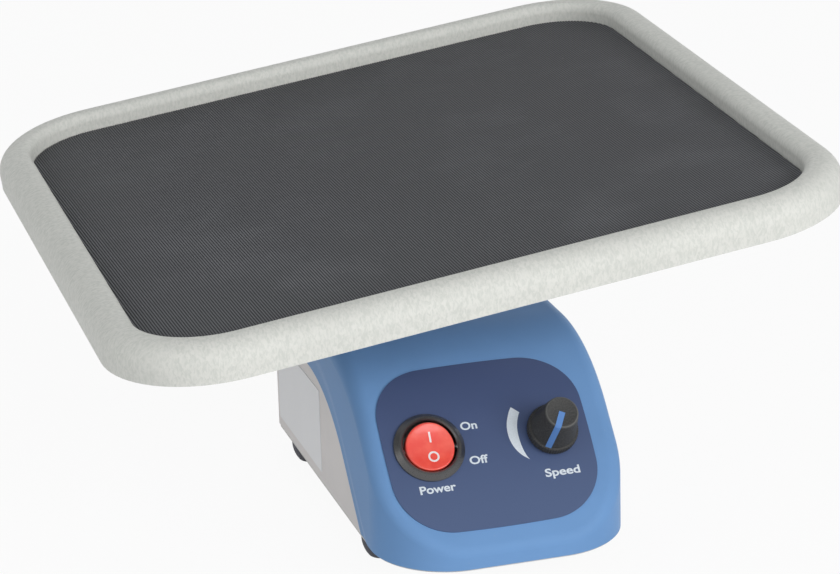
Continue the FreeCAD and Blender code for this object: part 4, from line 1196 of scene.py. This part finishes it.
@dataclass
class DriveTrain:
    """Motor, belt, bearings and crank inside the base."""

    def build(self) -> None:
        """Dress the drive."""
        dress(Finishes.SHEET, "motor", "motor_bracket")
        dress(Finishes.CASTING, "gearbox", "bearing_housing")
        dress(Finishes.STEEL, "motor_screws", "bracket_screws", "housing_screws", "shaft_circlip",
              "pulley_set_screw", "crank_set_screw", "retaining_washer", "retaining_screw", "fork_screws",
              "board_screws")
        dress(Finishes.DRAWN, "motor_shaft", "drive_shaft")
        dress(Finishes.ALUMINIUM, "motor_pulley", "drive_pulley", "crank")
        dress(Finishes.BELT, "drive_belt")
        dress(Finishes.BEARING, "shaft_bearing_outer_rings", "shaft_bearing_inner_rings",
              "platform_bearing_inner_ring")
        dress(Finishes.SEAL, "shaft_seal")
        dress(Finishes.FORK, "guide_fork")


@dataclass
class Electrics:
    """Circuit board and power inlet."""

    def build(self) -> None:
        """Dress the board and the inlet."""
        dress(Finishes.BOARD, "circuit_board")
        dress(Finishes.CHIP, "board_components")
        dress(Finishes.BRASS, "board_standoffs", "inlet_pin")
        dress(Finishes.BEZEL, "power_inlet")
        dress(Finishes.STEEL, "inlet_nut")


@dataclass
class Lamp:
    """A soft lamp."""

    name: str
    place: Point
    target: Point
    size: tuple[float, float]
    power: float


@dataclass
class Studio:
    """Camera, floor, lamps and surroundings.

    Attributes:
        ambient: Strength of the sky's light on the part.
        glow: Share of the floor's white that shines by itself to the eye.
    """

    eye: Point = (-0.2692, -0.9306, 0.3950)
    yaw: float = 16.48
    pitch: float = 18.98
    roll: float = -1.56
    lens: float = 133.6
    sensor: float = 36.0
    ambient: float = 0.4
    sky: Colour = (0.96, 0.98, 1.0)
    white: Colour = (1.0, 1.0, 1.0)
    glow: float = 0.93
    floor_half: float = 6.0
    lamps: tuple[Lamp, ...] = (
        Lamp("key_softbox", (0.8, -1.35, 0.6), (0.0, -0.03, 0.08), (0.9, 0.9), 11.0),
        Lamp("front_softbox", (-0.35, -1.7, 0.75), (0.0, -0.03, 0.08), (0.9, 0.6), 5.5),
        Lamp("left_softbox", (-1.2, -0.5, 0.75), (0.0, 0.0, 0.07), (0.8, 0.8), 2.7))

    def build(self) -> None:
        """Set the whole scene."""
        scene = bpy.context.scene
        scene.view_settings.view_transform = "Standard"
        self.camera(scene)
        self.floor(scene)
        self.world(scene)
        for lamp in self.lamps:
            self.light(scene, lamp)

    def camera(self, scene: bpy.types.Scene) -> None:
        """Place the camera.

        Args:
            scene: The scene.
        """
        a, e, t = (math.radians(v) for v in (self.yaw, self.pitch, self.roll))
        back = Vector((-math.sin(a) * math.cos(e), -math.cos(a) * math.cos(e), math.sin(e)))
        right = Vector((math.cos(a), -math.sin(a), 0.0))
        up = back.cross(right)
        turned_right = right * math.cos(t) + up * math.sin(t)
        turned_up = up * math.cos(t) - right * math.sin(t)
        data = bpy.data.cameras.new("camera")
        data.sensor_fit, data.sensor_width, data.lens = "HORIZONTAL", self.sensor, self.lens
        data.clip_start, data.clip_end = 0.01, 20.0
        made = bpy.data.objects.new("camera", data)
        made.matrix_world = Matrix.Translation(self.eye) @ Matrix(
            (turned_right, turned_up, back)).transposed().to_4x4()
        scene.collection.objects.link(made)
        scene.camera = made

    def floor(self, scene: bpy.types.Scene) -> None:
        """Lay the pale floor.

        Args:
            scene: The scene.
        """
        g = Graph("floor_white")
        tone = g.noise(30.0).blend(paint(238, 238, 238), paint(242, 242, 242))
        plain = g.node("ShaderNodeBsdfDiffuse", None, {"Color": tone})
        lit = g.node("ShaderNodeEmission", None, {"Color": self.white, "Strength": 1.0})
        both = g.node("ShaderNodeMixShader", None, {0: g.seen() * self.glow, 1: plain, 2: lit})
        g.node("ShaderNodeOutputMaterial", None, {"Surface": both})
        mesh = bpy.data.meshes.new("floor")
        half = self.floor_half
        corners = [(-half, -half, 0), (half, -half, 0), (half, half, 0), (-half, half, 0)]
        mesh.from_pydata(corners, [], [(0, 1, 2, 3)])
        mesh.materials.append(g.owner)
        made = bpy.data.objects.new("floor", mesh)
        scene.collection.objects.link(made)

    def world(self, scene: bpy.types.Scene) -> None:
        """Surround the scene with plain light.

        Args:
            scene: The scene.
        """
        world = bpy.data.worlds.new("surroundings")
        g = Graph("surroundings", world)
        soft = g.node("ShaderNodeBackground", None, {"Color": self.sky, "Strength": self.ambient})
        white = g.node("ShaderNodeBackground", None, {"Color": self.white, "Strength": 1.0})
        both = g.node("ShaderNodeMixShader", None, {0: g.seen(), 1: soft, 2: white})
        g.node("ShaderNodeOutputWorld", None, {"Surface": both})
        scene.world = world

    def light(self, scene: bpy.types.Scene, lamp: Lamp) -> None:
        """Hang one lamp.

        Args:
            scene: The scene.
            lamp: The lamp.
        """
        data = bpy.data.lights.new(lamp.name, "AREA")
        data.shape, data.size, data.size_y = "RECTANGLE", *lamp.size
        data.energy = lamp.power
        made = bpy.data.objects.new(lamp.name, data)
        made.location = lamp.place
        made.rotation_mode = "QUATERNION"
        made.rotation_quaternion = (Vector(lamp.target) - Vector(lamp.place)).to_track_quat("-Z", "Y")
        scene.collection.objects.link(made)


def main() -> None:
    """Build every sub-assembly in order."""
    logging.basicConfig(level=logging.INFO, format="%(name)s %(message)s")
    panel = PanelFrame()
    for part in (Studio(), Casing(), ControlPanel(panel), PowerSwitch(panel), SpeedControl(KnobFrame()),
                 Platform(PlatformFrame()), DriveTrain(), Electrics()):
        part.build()
        LOG.info("%s is built", type(part).__name__)


if __name__ == "__main__":
    main()
